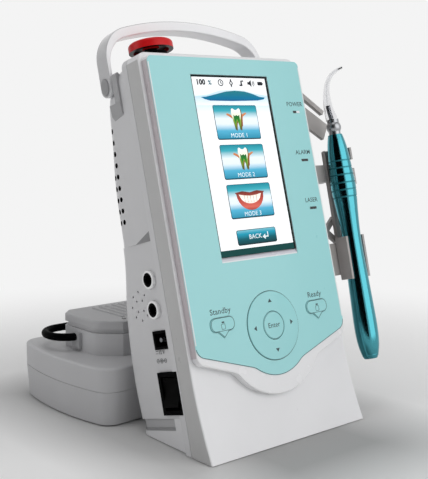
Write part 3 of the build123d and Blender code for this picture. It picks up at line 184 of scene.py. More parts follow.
def blank(name):
    """A material with one Principled shader, an output and object coordinates."""
    made = bpy.data.materials.new(name)
    made.use_nodes = True
    tree = made.node_tree
    tree.nodes.clear()
    shader = tree.nodes.new("ShaderNodeBsdfPrincipled")
    output = tree.nodes.new("ShaderNodeOutputMaterial")
    tree.links.new(shader.outputs["BSDF"], output.inputs["Surface"])
    where = tree.nodes.new("ShaderNodeTexCoord")
    return made, tree, shader, where


def noise_of(tree, where, scale, detail=2.0):
    """A noise over the object, with its scale in turns per metre."""
    node = tree.nodes.new("ShaderNodeTexNoise")
    node.inputs["Scale"].default_value = scale
    node.inputs["Detail"].default_value = detail
    tree.links.new(where.outputs["Object"], node.inputs["Vector"])
    return node


def spread(tree, source, low, high):
    """A noise's usual values spread between two numbers."""
    return scaled(tree, source, 0.2, 0.8, low, high)


def mixed(tree, share, first, second):
    """Two colours mixed by a share. Each is a list of numbers or a socket."""
    node = tree.nodes.new("ShaderNodeMix")
    node.data_type = "RGBA"
    tree.links.new(share, node.inputs["Factor"])
    for socket, value in ((node.inputs[6], first), (node.inputs[7], second)):
        feed(tree, socket, (*value, 1) if isinstance(value, list) else value)
    return node.outputs[2]


def relief(tree, shader, source, strength, distance):
    """Small bumps from a value."""
    node = tree.nodes.new("ShaderNodeBump")
    node.inputs["Strength"].default_value = strength
    node.inputs["Distance"].default_value = distance
    tree.links.new(source, node.inputs["Height"])
    tree.links.new(node.outputs["Normal"], shader.inputs["Normal"])


def moulded(name, colour, rough=0.4, rough_span=0.03, grain=1800.0, bump=0.03, mottle=0.02, patch=30.0,
            marks=(), **sockets):
    """A moulded or painted surface: faint mottling, uneven gloss and a fine grain.

    Each mark is a mask and the colour that the masked faces have; several marks paint shade or light onto
    faces.
    """
    made, tree, shader, where = blank(name)
    broad = noise_of(tree, where, patch, 3.0)
    share = spread(tree, broad.outputs["Fac"], 0.0, 1.0)
    tint = mixed(tree, share, *two_shades(colour, mottle))
    for mask, shade in marks:
        tint = mixed(tree, mask(tree, where), tint, mixed(tree, share, *two_shades(shade, mottle)))
    tree.links.new(tint, shader.inputs["Base Color"])
    gloss = noise_of(tree, where, patch * 4, 2.0)
    uneven = spread(tree, gloss.outputs["Fac"], rough - rough_span, rough + rough_span)
    tree.links.new(uneven, shader.inputs["Roughness"])
    relief(tree, shader, noise_of(tree, where, grain, 2.0).outputs["Fac"], bump, 0.0002)
    for key, value in sockets.items():
        shader.inputs[key.replace("_", " ")].default_value = value
    return made


def two_shades(colour, mottle):
    """A slightly darker and a slightly lighter shade of a colour."""
    darker = [part * (1 - mottle) for part in colour]
    lighter = [min(part * (1 + mottle), 1.0) for part in colour]
    return darker, lighter


def along(tree, where, direction, start, end):
    """0 to 1 along a direction in the room, between two distances in metres."""
    return scaled(tree, vector(tree, "DOT_PRODUCT", where.outputs["Object"], direction), start, end)


def up_the_face(tree, where, low, high):
    """0 to 1 up the face between two heights in millimetres."""
    direction = facing(0, 1, 0)
    base = direction.dot(FACE.to_translation())
    return along(tree, where, direction, base + low * MM, base + high * MM)


def product(tree, *values):
    """Masks multiplied together."""
    result = values[0]
    for value in values[1:]:
        result = number(tree, "MULTIPLY", result, value)
    return result


def between(tree, where, low, high):
    """A mask of what lies between two heights up the face."""
    above_low = up_the_face(tree, where, low, low + 0.1)
    return number(tree, "SUBTRACT", above_low, up_the_face(tree, where, high, high + 0.1))


def beyond(half):
    """A mask of what lies further than some millimetres from the middle plane."""
    def mask(tree, where):
        across = number(tree, "SUBTRACT", part_of(tree, where.outputs["Object"], "X"), MIDDLE_X)
        size = number(tree, "ABSOLUTE", across)
        return scaled(tree, size, (half - 0.05) * MM, (half + 0.05) * MM)
    return mask


def behind(tree, where, depth):
    """A mask of what lies deeper than some millimetres behind the face."""
    back = facing(0, 0, -1)
    base = back.dot(FACE.to_translation())
    return along(tree, where, back, base + depth * MM, base + (depth + 0.2) * MM)


def shaded_step_slope(tree, where):
    """A mask of the slanting step that runs along each side wall, where a darker grey is painted as its
    shade.
    """
    down = vector(tree, "DOT_PRODUCT", true_normal(tree), facing(0, -1, 0))
    return product(tree, scaled(tree, down, 0.12, 0.16), between(tree, where, *STEP_SPAN))


def underside(tree, where):
    """A mask of the faces that look down the face, on which shade or light is painted."""
    down = vector(tree, "DOT_PRODUCT", where.outputs["Normal"], facing(0, -1, 0))
    return scaled(tree, down, 0.5, 0.7)


def screen_sill(tree, where):
    """A mask of the ledge below the display, which looks up the face; it is painted a mauve grey as its
    shade.
    """
    up = vector(tree, "DOT_PRODUCT", true_normal(tree), facing(0, 1, 0))
    return product(tree, scaled(tree, up, 0.4, 0.5), between(tree, where, *SILL_SPAN))


def tray_groove_shade(low, high):
    """A mask of one part of the two-step groove round the tray, painted grey as the shade in it."""
    def mask(tree, where):
        return product(tree, behind(tree, where, TRAY_BEHIND), between(tree, where, low, high))
    return mask


def socket_mouths(tree, where):
    """A mask of what lies inside the two round socket mouths."""
    inside = []
    for height in SOCKET_HEIGHTS:
        centre = FACE @ Vector((0, height, -SOCKET_DEPTH))
        away = vector(tree, "SUBTRACT", where.outputs["Object"], centre)
        across = vector(tree, "MULTIPLY", away, (0, 1, 1))
        radius = vector(tree, "LENGTH", across)
        inside.append(scaled(tree, radius, SOCKET_MOUTH * MM, (SOCKET_MOUTH - 0.1) * MM))
    return largest(tree, inside)


def vent_walls(tree, where):
    """A mask of the insides of the round vents in the side walls, which are painted near black as the shade
    in the holes.
    """
    size = number(tree, "ABSOLUTE", part_of(tree, true_normal(tree), "X"))
    sideways = scaled(tree, size, 0.3, 0.25)
    deep = behind(tree, where, VENTS_BEHIND)
    return product(tree, sideways, deep, beyond(VENT_WALL)(tree, where), between(tree, where, *VENT_SPAN))


def fibre_end(tree, where):
    """A mask of the dark end of the tip's fibre."""
    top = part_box("tip_fibre")[1].z
    return scaled(tree, part_of(tree, where.outputs["Object"], "Z"), top - 2.2 * MM, top - 2.0 * MM)


def facing_out(centre):
    """A mask of the faces that look away from a point on the face's frame."""
    def mask(tree, where):
        away = vector(tree, "SUBTRACT", where.outputs["Object"], FACE @ Vector(centre))
        even = vector(tree, "NORMALIZE", away)
        dot = vector(tree, "DOT_PRODUCT", even, where.outputs["Normal"])
        return scaled(tree, dot, 0.3, 0.5)
    return mask


def ramp(tree, share, stops):
    """A colour ramp with stops of (place, colour)."""
    node = tree.nodes.new("ShaderNodeValToRGB")
    band = node.color_ramp
    while len(band.elements) < len(stops):
        band.elements.new(0.5)
    for element, (place, colour) in zip(band.elements, stops):
        element.position = place
        element.color = (*colour[:3], 1)
    tree.links.new(share, node.inputs["Fac"])
    return node.outputs["Color"]


# How strongly the picture glows
LIT = 0.32


def lit(name, low, high, stops):
    """A part of the lit picture: its colour runs up the face, with a fine pixel grid."""
    made, tree, shader, where = blank(name)
    colour = ramp(tree, up_the_face(tree, where, low, high), stops)
    grid = noise_of(tree, where, 2600.0, 0.0)
    dimmer = tree.nodes.new("ShaderNodeHueSaturation")
    tree.links.new(colour, dimmer.inputs["Color"])
    tree.links.new(spread(tree, grid.outputs["Fac"], 0.97, 1.0), dimmer.inputs["Value"])
    tree.links.new(dimmer.outputs["Color"], shader.inputs["Base Color"])
    tree.links.new(dimmer.outputs["Color"], shader.inputs["Emission Color"])
    shader.inputs["Emission Strength"].default_value = LIT
    shader.inputs["Roughness"].default_value = 0.3
    shader.inputs["Specular IOR Level"].default_value = 0.1
    return made


def plain_lit(name, colour):
    """A part of the picture in one colour, a trace darker towards the foot of the display."""
    darker = [part * 0.9 for part in colour]
    return lit(name, 130.0, 262.0, [(0.0, darker), (1.0, colour)])


def dress(material, *names):
    """Give CAD nodes their material."""
    for name in names:
        data = nodes[name].data
        data.materials.clear()
        data.materials.append(material)


WHITE = srgb(230, 230, 232)
WALL_WHITE = srgb(212, 212, 214)
CYAN = srgb(152, 215, 217)
DEEP_TEAL = srgb(2, 66, 64)
BAND_SHADE_GREY = srgb(190, 190, 190)
# Painted shade: the mauve grey of the front plate's side faces, which stand in shade.
PLATE_SIDE_SHADE = srgb(196, 188, 192)
HANDLE_SHADE_GREY = srgb(196, 196, 198)
SILL_SHADE = srgb(182, 182, 198)
# Painted shade: greys for the two steps of the groove round the tray, the deeper step darker.
GROOVE_SHADE_GREY = srgb(182, 182, 184)
DEEP_GROOVE_SHADE_GREY = srgb(148, 148, 150)
# Painted shade: the near black of the vents' insides.
VENT_SHADE_BLACK = srgb(12, 12, 13)
MATT = {"Specular_IOR_Level": 0.02}


def coated(weight, rough):
    """The settings of a clear coat."""
    return {"Coat_Weight": weight, "Coat_Roughness": rough}


# Painted shade: the front housing's side bands beyond the band edge are grey, for the shade on these side
# faces.
BAND_SHADE_MARKS = [(beyond(BAND_EDGE), BAND_SHADE_GREY)]
# Painted shade on the rear housing: the slanting step is grey and the insides of the vents are near black.
WALL_SHADE_MARKS = [(shaded_step_slope, srgb(134, 134, 136)), (vent_walls, VENT_SHADE_BLACK)]
TRAY_SHADE_MARKS = [(tray_groove_shade(*OUTER_GROOVE), GROOVE_SHADE_GREY), (tray_groove_shade(*INNER_GROOVE), DEEP_GROOVE_SHADE_GREY)]
# Painted shade and light on the front plate: grey side faces and sill, and near white on its down-facing
# faces to lift their shade.
PLATE_SHADE_AND_LIGHT_MARKS = [(beyond(BORDER_EDGE), PLATE_SIDE_SHADE), (screen_sill, SILL_SHADE), (underside, srgb(250, 250, 250))]

white_shell = moulded("white_shell", WHITE, rough=0.3, bump=0.02, marks=BAND_SHADE_MARKS, **coated(0.2, 0.14))
wall_white = moulded("wall_white", WALL_WHITE, rough=0.34, bump=0.02, marks=WALL_SHADE_MARKS)
white_tray = moulded("white_tray", srgb(224, 224, 226), rough=0.36, bump=0.02, marks=TRAY_SHADE_MARKS)
plate_white = moulded("plate_white", WHITE, rough=0.26, bump=0.01, marks=PLATE_SHADE_AND_LIGHT_MARKS, **coated(0.3, 0.1))
cyan_film = moulded("cyan_film", CYAN, rough=0.3, bump=0.008, mottle=0.01, **coated(0.3, 0.1))
key_film = moulded("key_film", CYAN, rough=0.34, bump=0.01, mottle=0.01, **coated(0.2, 0.12))
# Painted shade: the handle's faces that look away from the arch's middle are grey.
handle_white = moulded("handle_white", srgb(240, 240, 242), rough=0.24, bump=0.01,
                       marks=[(facing_out(ARCH_MIDDLE), HANDLE_SHADE_GREY)], **coated(0.4, 0.08))
cap_grey = moulded("cap_grey", srgb(150, 150, 152), rough=0.34, bump=0.02)
bracket_grey = moulded("bracket_grey", srgb(168, 168, 170), rough=0.4, bump=0.03)
holder_grey = moulded("holder_grey", srgb(170, 166, 164), rough=0.38, bump=0.06, mottle=0.04)
pedal_grey = moulded("pedal_grey", srgb(192, 192, 194), rough=0.46, bump=0.12, grain=2400.0, mottle=0.03)
rib_grey = moulded("rib_grey", srgb(180, 180, 182), rough=0.5, bump=0.15, grain=2400.0)
black_plastic = moulded("black_plastic", srgb(4, 4, 5), rough=0.5, bump=0.1, mottle=0.2, **MATT)
black_satin = moulded("black_satin", srgb(4, 4, 4), rough=0.42, bump=0.03, mottle=0.15, **MATT)
fibre_clear = moulded("fibre_clear", srgb(240, 241, 242), rough=0.06, rough_span=0.02, bump=0.01,
                      marks=[(fibre_end, srgb(6, 6, 7))], Transmission_Weight=1.0, IOR=1.12)
rubber = moulded("rubber", srgb(58, 58, 60), rough=0.7, bump=0.25, mottle=0.08)
# Painted shade: the e-stop head's down-facing faces are near black.
red_gloss = moulded("red_gloss", srgb(206, 8, 16), rough=0.4, bump=0.01, mottle=0.04,
                    marks=[(underside, srgb(10, 6, 6))], Specular_IOR_Level=0.25)
socket_white = moulded("socket_white", srgb(252, 252, 253), rough=0.2, bump=0.01,
                       marks=[(socket_mouths, srgb(6, 6, 7))], **coated(0.4, 0.08))
bright_metal = moulded("bright_metal", srgb(190, 192, 195), rough=0.14, bump=0.01, mottle=0.03, Metallic=1.0)
neck_metal = moulded("neck_metal", srgb(158, 160, 163), rough=0.3, bump=0.02, mottle=0.05, Metallic=1.0)
ferrule_metal = moulded("ferrule_metal", srgb(120, 122, 126), rough=0.28, bump=0.02, mottle=0.05,
                        Metallic=0.7)
steel = moulded("steel", srgb(176, 177, 180), rough=0.34, bump=0.06, mottle=0.06, Metallic=1.0)
aluminium = moulded("aluminium", srgb(190, 192, 196), rough=0.3, bump=0.08, mottle=0.04, Metallic=1.0)
tin_plate = moulded("tin_plate", srgb(160, 162, 166), rough=0.4, bump=0.08, mottle=0.06, Metallic=1.0)
board_green = moulded("board_green", srgb(20, 96, 52), rough=0.4, bump=0.15, grain=900.0, mottle=0.12)
sleeve_blue = moulded("sleeve_blue", srgb(40, 74, 140), rough=0.35, bump=0.1, grain=500.0, mottle=0.08)
key_pad_grey = moulded("key_pad_grey", srgb(120, 122, 126), rough=0.65, bump=0.2, mottle=0.05)


def ring_grooves(tree, where):
    """A mask of the ring grooves round the grip, by their height on its axis."""
    axis = facing(0, math.cos(GRIP_LEAN), math.sin(GRIP_LEAN))
    base = axis.dot(FACE @ Vector(GRIP_FOOT))
    height = along(tree, where, axis, base, base + 1.0)
    near = [number(tree, "COMPARE", height, groove * MM, GROOVE_HALF * MM) for groove in GRIP_GROOVES]
    return largest(tree, near)


def anodised(name):
    """Turquoise anodised metal, turned: fine rings round the axis and duller grooves."""
    made, tree, shader, where = blank(name)
    broad = noise_of(tree, where, 25.0, 2.0)
    share = spread(tree, broad.outputs["Fac"], 0.0, 1.0)
    tint = mixed(tree, share, srgb(68, 143, 154), srgb(76, 153, 164))
    grooves = ring_grooves(tree, where)
    tree.links.new(mixed(tree, grooves, tint, srgb(64, 140, 150)), shader.inputs["Base Color"])
    rings = tree.nodes.new("ShaderNodeTexWave")
    rings.wave_type = "BANDS"
    rings.bands_direction = "Z"
    rings.inputs["Scale"].default_value = 700.0
    rings.inputs["Distortion"].default_value = 0.6
    tree.links.new(where.outputs["Object"], rings.inputs["Vector"])
    dull = number(tree, "MULTIPLY_ADD", grooves, 0.4, spread(tree, rings.outputs["Fac"], 0.1, 0.16))
    tree.links.new(dull, shader.inputs["Roughness"])
    relief(tree, shader, rings.outputs["Fac"], 0.04, 0.0001)
    shader.inputs["Metallic"].default_value = 1.0
    return made


def clear(name, tint, rough, ior):
    """Clear moulded plastic or glass, with faint flow marks."""
    made, tree, shader, where = blank(name)
    flow = noise_of(tree, where, 120.0, 2.0)
    relief(tree, shader, flow.outputs["Fac"], 0.03, 0.0002)
    tree.links.new(spread(tree, flow.outputs["Fac"], rough, rough + 0.05), shader.inputs["Roughness"])
    shader.inputs["Base Color"].default_value = (*tint, 1)
    shader.inputs["Transmission Weight"].default_value = 1.0
    shader.inputs["IOR"].default_value = ior
    return made


teal_metal = anodised("teal_metal")
clear_plastic = clear("clear_plastic", srgb(242, 242, 243), 0.04, 1.2)
display_glass = clear("display_glass", srgb(236, 242, 243), 0.02, 1.12)

dress(white_shell, "front_housing")
dress(wall_white, "rear_housing")
dress(white_tray, "base_skirt")
dress(plate_white, "front_plate")
dress(cyan_film, "front_overlay")
dress(display_glass, "lcd_glass")
dress(tin_plate, "lcd_module", "chassis_plate")
dress(clear_plastic, "indicator_lenses", "clear_tip")
dress(board_green, "control_board")
dress(steel, "board_screws", "base_screws", "base_weight")
dress(steel, "treadle_springs", "treadle_pin", "pedal_screws")
dress(key_pad_grey, "key_domes")
dress(rubber, "console_feet", "pedal_feet")
dress(sleeve_blue, "battery_pack")
dress(aluminium, "laser_block", "heat_sink")
dress(black_plastic, "fan_frame", "fan_rotor", "speaker_driver", "socket_bodies", "switch_bezel")
dress(black_plastic, "estop_collar", "estop_stem", "estop_contact_block", "dc_jack", "dpad_carrier")
dress(black_plastic, "pedal_switch", "carry_hoop")
dress(black_satin, "power_rocker")
dress(socket_white, "socket_rings")
dress(bright_metal, "handle_pins", "holder_screws")
dress(neck_metal, "handpiece_neck")
dress(ferrule_metal, "tip_ferrule", "dc_jack_pin")
dress(red_gloss, "estop_head")
dress(handle_white, "handle")
dress(cap_grey, "handle_caps")
dress(bracket_grey, "handle_brackets", "hoop_brackets")
dress(holder_grey, "holder_frame", "holder_clip")
dress(teal_metal, "handpiece_body", "handpiece_end_cap")
dress(fibre_clear, "tip_fibre")
dress(key_film, "dpad_ring", "enter_key", "standby_key", "ready_key")
dress(pedal_grey, "pedal_base", "pedal_cover")
dress(rib_grey, "pedal_treadle")
dress(clear_plastic, "pedal_lamp")


# Even shading of the CAD nodes

def even_shading():
    """A modifier's nodes: weld the seams, smooth the rounds and keep edges over 32 degrees sharp."""
    group = bpy.data.node_groups.new("even_shading", "GeometryNodeTree")
    group.interface.new_socket("Geometry", in_out="INPUT", socket_type="NodeSocketGeometry")
    group.interface.new_socket("Geometry", in_out="OUTPUT", socket_type="NodeSocketGeometry")
    entry = group.nodes.new("NodeGroupInput")
    end = group.nodes.new("NodeGroupOutput")
    weld = group.nodes.new("GeometryNodeMergeByDistance")
    weld.inputs["Distance"].default_value = 0.000002
    plain = group.nodes.new("GeometryNodeRemoveAttribute")
    plain.inputs["Name"].default_value = "custom_normal"
    angle = group.nodes.new("GeometryNodeInputMeshEdgeAngle")
    steep = group.nodes.new("FunctionNodeCompare")
    steep.data_type = "FLOAT"
    steep.operation = "GREATER_THAN"
    steep.inputs["B"].default_value = math.radians(32)
    group.links.new(angle.outputs["Unsigned Angle"], steep.inputs["A"])
    soft_faces = group.nodes.new("GeometryNodeSetShadeSmooth")
    soft_faces.domain = "FACE"
    soft_edges = group.nodes.new("GeometryNodeSetShadeSmooth")
    soft_edges.domain = "EDGE"
    sharp_edges = group.nodes.new("GeometryNodeSetShadeSmooth")
    sharp_edges.domain = "EDGE"
    sharp_edges.inputs["Shade Smooth"].default_value = False
    group.links.new(steep.outputs["Result"], sharp_edges.inputs["Selection"])
    chain = [entry, plain, weld, soft_faces, soft_edges, sharp_edges, end]
    for before, after in zip(chain, chain[1:]):
        source = next(socket for socket in before.outputs if socket.type == "GEOMETRY")
        target = next(socket for socket in after.inputs if socket.type == "GEOMETRY")
        group.links.new(source, target)
    return group


shading = even_shading()
for node in nodes.values():
    modifier = node.modifiers.new("even_shading", "NODES")
    modifier.node_group = shading


# Flat printed pieces, drawn in x and u on the face

def add_loop(mesh, loop, low, high):
    """A solid between two heights over a closed outline."""
    area = 0.0
    for (x0, u0), (x1, u1) in zip(loop, loop[1:] + loop[:1]):
        area += x0 * u1 - x1 * u0
    if area < 0:
        loop = loop[::-1]
    bottom = [mesh.verts.new((x, u, low)) for x, u in loop]
    top = [mesh.verts.new((x, u, high)) for x, u in loop]
    mesh.faces.new(top)
    mesh.faces.new(bottom[::-1])
    count = len(loop)
    for index in range(count):
        after = (index + 1) % count
        mesh.faces.new((bottom[index], bottom[after], top[after], top[index]))


def add_stroke(mesh, points, width, low, high, closed=False):
    """A line of even width with square ends and mitred corners."""
    count = len(points)
    sides = []
    for index in range(count):
        before = points[index - 1] if closed or index > 0 else points[index]
        after = points[(index + 1) % count] if closed or index < count - 1 else points[index]
        run = Vector((after[0] - before[0], after[1] - before[1])).normalized()
        here = Vector(points[index])
        reach = width / 2
        if before != points[index] and after != points[index]:
            first = (here - Vector(before)).normalized()
            reach /= max(abs(first.dot(run)), 0.5)
        across = Vector((-run.y, run.x)) * reach
        sides.append((here + across, here - across))
    rows = []
    for left, right in sides:
        ends = ((left, low), (right, low), (right, high), (left, high))
        rows.append([mesh.verts.new((place.x, place.y, height)) for place, height in ends])
    last = count if closed else count - 1
    for index in range(last):
        row, following = rows[index], rows[(index + 1) % count]
        for side in range(4):
            turn = (side + 1) % 4
            mesh.faces.new((row[side], row[turn], following[turn], following[side]))
    if not closed:
        mesh.faces.new(rows[0][::-1])
        mesh.faces.new(rows[-1])


def arc(x, u, radius, start, end, steps):
    """Points along an arc, with angles in degrees."""
    points = []
    for step in range(steps + 1):
        angle = math.radians(start + (end - start) * step / steps)
        points.append((x + radius * math.cos(angle), u + radius * math.sin(angle)))
    return points


def circle(x, u, radius, steps=48):
    """Points round a circle."""
    return arc(x, u, radius, 0, 360, steps)[:-1]


def rounded(x0, x1, u0, u1, radius):
    """The outline of a rectangle with round corners."""
    points = arc(x1 - radius, u1 - radius, radius, 0, 90, 5)
    points += arc(x0 + radius, u1 - radius, radius, 90, 180, 5)
    points += arc(x0 + radius, u0 + radius, radius, 180, 270, 5)
    points += arc(x1 - radius, u0 + radius, radius, 270, 360, 5)
    return points


def side_frame():
    """The frame of the left wall's lower half: x forward, u up the face and height out of the wall."""
    base = WALL_HALF + WALL_TAPER * WALL_BEHIND
    wall = Matrix(((-WALL_TAPER, 0, -1, -base), (0, 1, 0, 0), (1, 0, 0, 0), (0, 0, 0, 1)))
    return FACE @ wall


def riding(name, data, material, body):
    """A piece made of a mesh, with its material, that rides on its body."""
    data.materials.clear()
    data.materials.append(material)
    piece = bpy.data.objects.new(name, data)
    bpy.context.scene.collection.objects.link(piece)
    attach(piece, body)


def mesh_of(name, mesh):
    """Drawn geometry as mesh data."""
    data = bpy.data.meshes.new(name)
    mesh.to_mesh(data)
    mesh.free()
    return data


def staged(name, data, material):
    """A part of the stage, which isn't part of the object."""
    data.materials.append(material)
    made = bpy.data.objects.new(name, data)
    bpy.context.scene.collection.objects.link(made)
    return made


def printed(name, material, height, body="console", loops=(), strokes=(), thick=PRINT,
            matrix=FACE):
    """A printed piece on the face or a wall, made of filled outlines and lines."""
    mesh = bmesh.new()
    for loop in loops:
        add_loop(mesh, list(loop), height, height + thick)
    for points, width, closed in strokes:
        add_stroke(mesh, list(points), width, height, height + thick, closed)
    bmesh.ops.recalc_face_normals(mesh, faces=mesh.faces)
    data = mesh_of(name, mesh)
    data.transform(matrix)
    riding(name, data, material, body)


def words(name, text, x, u, size, material, height, body="console", bold=0.06, matrix=FACE):
    """Lettering on the face or a wall, centred on a place and made bolder by some millimetres."""
    curve = bpy.data.curves.new(name, "FONT")
    curve.body = text
    curve.size = size
    curve.align_x = "CENTER"
    curve.align_y = "CENTER"
    curve.extrude = PRINT / 2
    curve.offset = bold / 2
    curve.resolution_u = 3
    curve.space_character = 1.05
    holder = bpy.data.objects.new(name, curve)
    bpy.context.scene.collection.objects.link(holder)
    bpy.context.view_layer.update()
    data = bpy.data.meshes.new_from_object(holder.evaluated_get(bpy.context.evaluated_depsgraph_get()))
    bpy.data.objects.remove(holder)
    data.name = name
    data.transform(matrix @ Matrix.Translation((x, u, height + PRINT / 2)))
    riding(name, data, material, body)


# This dark ink serves the print and also the painted shadow line along the film's lower edge.
print_and_shadow_ink = moulded("dark_print_and_shadow", srgb(38, 66, 70), rough=0.4, mottle=0.1)
pale_ink = moulded("grey_print", srgb(96, 128, 132), rough=0.4, mottle=0.1)
border_white = moulded("border_white", srgb(226, 230, 232), rough=0.3, mottle=0.02)
side_ink = moulded("side_print", srgb(104, 106, 108), rough=0.4, mottle=0.1)
lamp_off = moulded("lamp_dark", srgb(22, 24, 26), rough=0.3, mottle=0.1)
lamp_bright = moulded("lamp_bright", srgb(236, 240, 244), rough=0.3, mottle=0.03)


def front_print():
    """The words and lines printed on the film and the keys."""
    for side, x in (("left", -71.45), ("right", 71.45)):
        line = [(x, 77.5), (x, 270.4)]
        printed("film_border_" + side, border_white, FILM_FRONT, strokes=[(line, 0.9, False)])
    for name, text, u in (("power", "POWER", 241.4), ("alarm", "ALARM", 204.2), ("laser", "LASER", 167.4)):
        words("label_" + name, text, 60.8, u, 4.7, print_and_shadow_ink, FILM_FRONT)
    words("label_standby", "Standby", -SIDE_KEY, 97.2, 5.6, print_and_shadow_ink, FILM_FRONT)
    words("label_ready", "Ready", SIDE_KEY, 97.2, 5.6, print_and_shadow_ink, FILM_FRONT)
    words("label_enter", "Enter", 0, PAD_HEIGHT, 5.0, print_and_shadow_ink, ENTER_TOP, "enter")
    ring = [(circle(0, PAD_HEIGHT, 24.6, 96), 0.28, True)]
    printed("pad_outline", print_and_shadow_ink, FILM_FRONT, strokes=ring)
    inner = [(circle(0, PAD_HEIGHT, 9.4, 64), 0.25, True)]
    printed("enter_outline", pale_ink, ENTER_TOP, "enter", strokes=inner)
    arrows = []
    for turn in range(4):
        sine, cosine = math.sin(math.radians(90 * turn)), math.cos(math.radians(90 * turn))
        tip = []
        for x, u in ((-1.9, 16.4), (1.9, 16.4), (0, 19.0)):
            tip.append((x * cosine - u * sine, PAD_HEIGHT + x * sine + u * cosine))
        arrows.append(tip)
    printed("pad_arrows", print_and_shadow_ink, KEY_TOP - 0.2, "pad_ring", loops=arrows, thick=0.22)


def film_edge_shadow():
    """A fine dark line along the lower edge of the film, a painted shadow of the groove there, drawn from the
    film's own outline.
    """
    back = FACE.inverted()
    mesh = bmesh.new()
    mesh.from_mesh(nodes["front_overlay"].data)
    bmesh.ops.transform(mesh, matrix=back @ nodes["front_overlay"].matrix_world, verts=mesh.verts)
    bmesh.ops.remove_doubles(mesh, verts=mesh.verts, dist=0.01)
    front = max(vertex.co.z for vertex in mesh.verts)
    ends = {}
    for edge in mesh.edges:
        first, second = (vertex.co for vertex in edge.verts)
        on_front = min(first.z, second.z) > front - 0.05
        low = max(first.y, second.y) < 76.0 and math.hypot(first.x, first.y - PAD_HEIGHT) > 27.0
        sides = [abs(face.normal.z) for face in edge.link_faces]
        if on_front and low and len(sides) == 2 and min(sides) < 0.5 < max(sides):
            spots = [(round(place.x, 3), round(place.y, 3)) for place in (first, second)]
            for here, there in (spots, spots[::-1]):
                ends.setdefault(here, []).append(there)
    place = min(ends)
    chain = [place]
    while True:
        following = [spot for spot in ends[place] if spot not in chain]
        if not following:
            break
        place = following[0]
        chain.append(place)
    mesh.free()
    middle = Vector((0, 100))
    line = [tuple(Vector(spot) + (middle - Vector(spot)).normalized() * 0.25) for spot in chain]
    printed("film_edge_shadow", print_and_shadow_ink, FILM_FRONT, strokes=[(line, 0.4, False)])


def key_print(name, x, body):
    """The outline and the hand mark of one side key."""
    rim = rounded(x - 10.2, x + 10.2, 83.9, 92.7, 3.9)
    flap = [(x - 4.8, 83.9), (x, 79.5), (x + 4.8, 83.9)]
    palm = rounded(x - 1.5, x + 1.7, 84.9, 88.5, 0.6)
    fingers = [(x - 0.9, 89.6), (x + 1.3, 89.6)]
    lines = [(rim, 0.35, True), (flap, 0.35, False), (palm, 0.3, True), (fingers, 1.1, False)]
    printed(name, print_and_shadow_ink, KEY_TOP, body, strokes=lines)


def lamps():
    """The two halves of each indicator window."""
    for index, u in enumerate(LAMP_HEIGHTS):
        second = lamp_bright if index == 0 else lamp_off
        for name, material, left, right in (("dark", lamp_off, 58.1, 61.2), ("pale", second, 61.5, 64.9)):
            half = [(left, u - 0.85), (right, u - 0.85), (right, u + 0.85), (left, u + 0.85)]
            printed("lamp_%s_%d" % (name, index), material, FILM_FRONT + 0.1, loops=[half])


def side_print():
    """The supply marks printed below the inlet on the left wall."""
    wall = side_frame()
    words("supply_volts", "12 V", -31.6, 76.0, 3.6, side_ink, 0.01, bold=0.15, matrix=wall)
    direct = [([(-38.6, 77.0), (-35.8, 77.0)], 0.45, False)]
    direct += [([(-38.6 + dash, 75.4), (-38.0 + dash, 75.4)], 0.45, False) for dash in (0.0, 1.1, 2.2)]
    rings = [(circle(-37.6, 70.2, 1.3, 20), 0.4, True), (circle(-33.0, 70.2, 1.5, 20), 0.4, True)]
    rings += [(circle(-28.4, 70.2, 1.3, 20), 0.4, True), ([(-36.3, 70.2), (-34.5, 70.2)], 0.4, False)]
    rings += [([(-31.6, 70.2), (-29.7, 70.2)], 0.4, False), ([(-38.2, 70.2), (-37.0, 70.2)], 0.35, False)]
    rings += [([(-29.0, 70.2), (-27.8, 70.2)], 0.35, False)]
    printed("supply_marks", side_ink, 0.01, strokes=direct + rings,
            loops=[circle(-33.0, 70.2, 0.7, 16)], matrix=wall)


# The lit picture. Each layer lies a little above the one below it.
LAYER = 0.07
SCREEN = GLASS_FRONT + 0.02
PAPER = srgb(246, 248, 250)


def shown(name, material, height, loops=(), strokes=()):
    """A flat piece of the lit picture at a height above its ground."""
    printed(name, material, SCREEN + height, loops=loops, strokes=strokes, thick=LAYER)


def moved(points, x, u):
    """Points moved across and up."""
    return [(x + across, u + up) for across, up in points]


def tooth(x, u):
    """A simple tooth: two cusps above, two roots below."""
    shape = [
        (-4.6, 3.4), (-4.2, 6.6), (-3.0, 7.4), (-1.4, 6.4), (0, 5.9), (1.4, 6.4), (3.0, 7.4), (4.2, 6.6),
        (4.6, 3.4), (4.1, 0.4), (3.6, -3.2), (2.6, -8.4), (1.9, -8.6), (1.2, -4.6), (0, -1.6), (-1.2, -4.6),
        (-1.9, -8.6), (-2.6, -8.4), (-3.6, -3.2), (-4.1, 0.4),
    ]
    return moved(shape, x, u)


def button(index, low, high, half):
    """One picture button: a dark edge and a face that runs from teal to white to blue."""
    edge = plain_lit("button_edge_%d" % index, srgb(14, 60, 72))
    stops = [(0.0, srgb(30, 132, 164)), (0.26, srgb(84, 176, 208)), (0.44, srgb(226, 238, 248)),
             (0.6, srgb(232, 242, 248)), (0.82, srgb(60, 168, 184)), (1.0, srgb(18, 130, 148))]
    face = lit("button_face_%d" % index, low, high, stops)
    whole = rounded(-half, half, low, high, 1.6)
    inner = rounded(-half + 0.5, half - 0.5, low + 0.8, high - 0.3, 1.3)
    shown("button_edge_%d" % index, edge, LAYER, [whole])
    shown("button_face_%d" % index, face, 2 * LAYER, [inner])


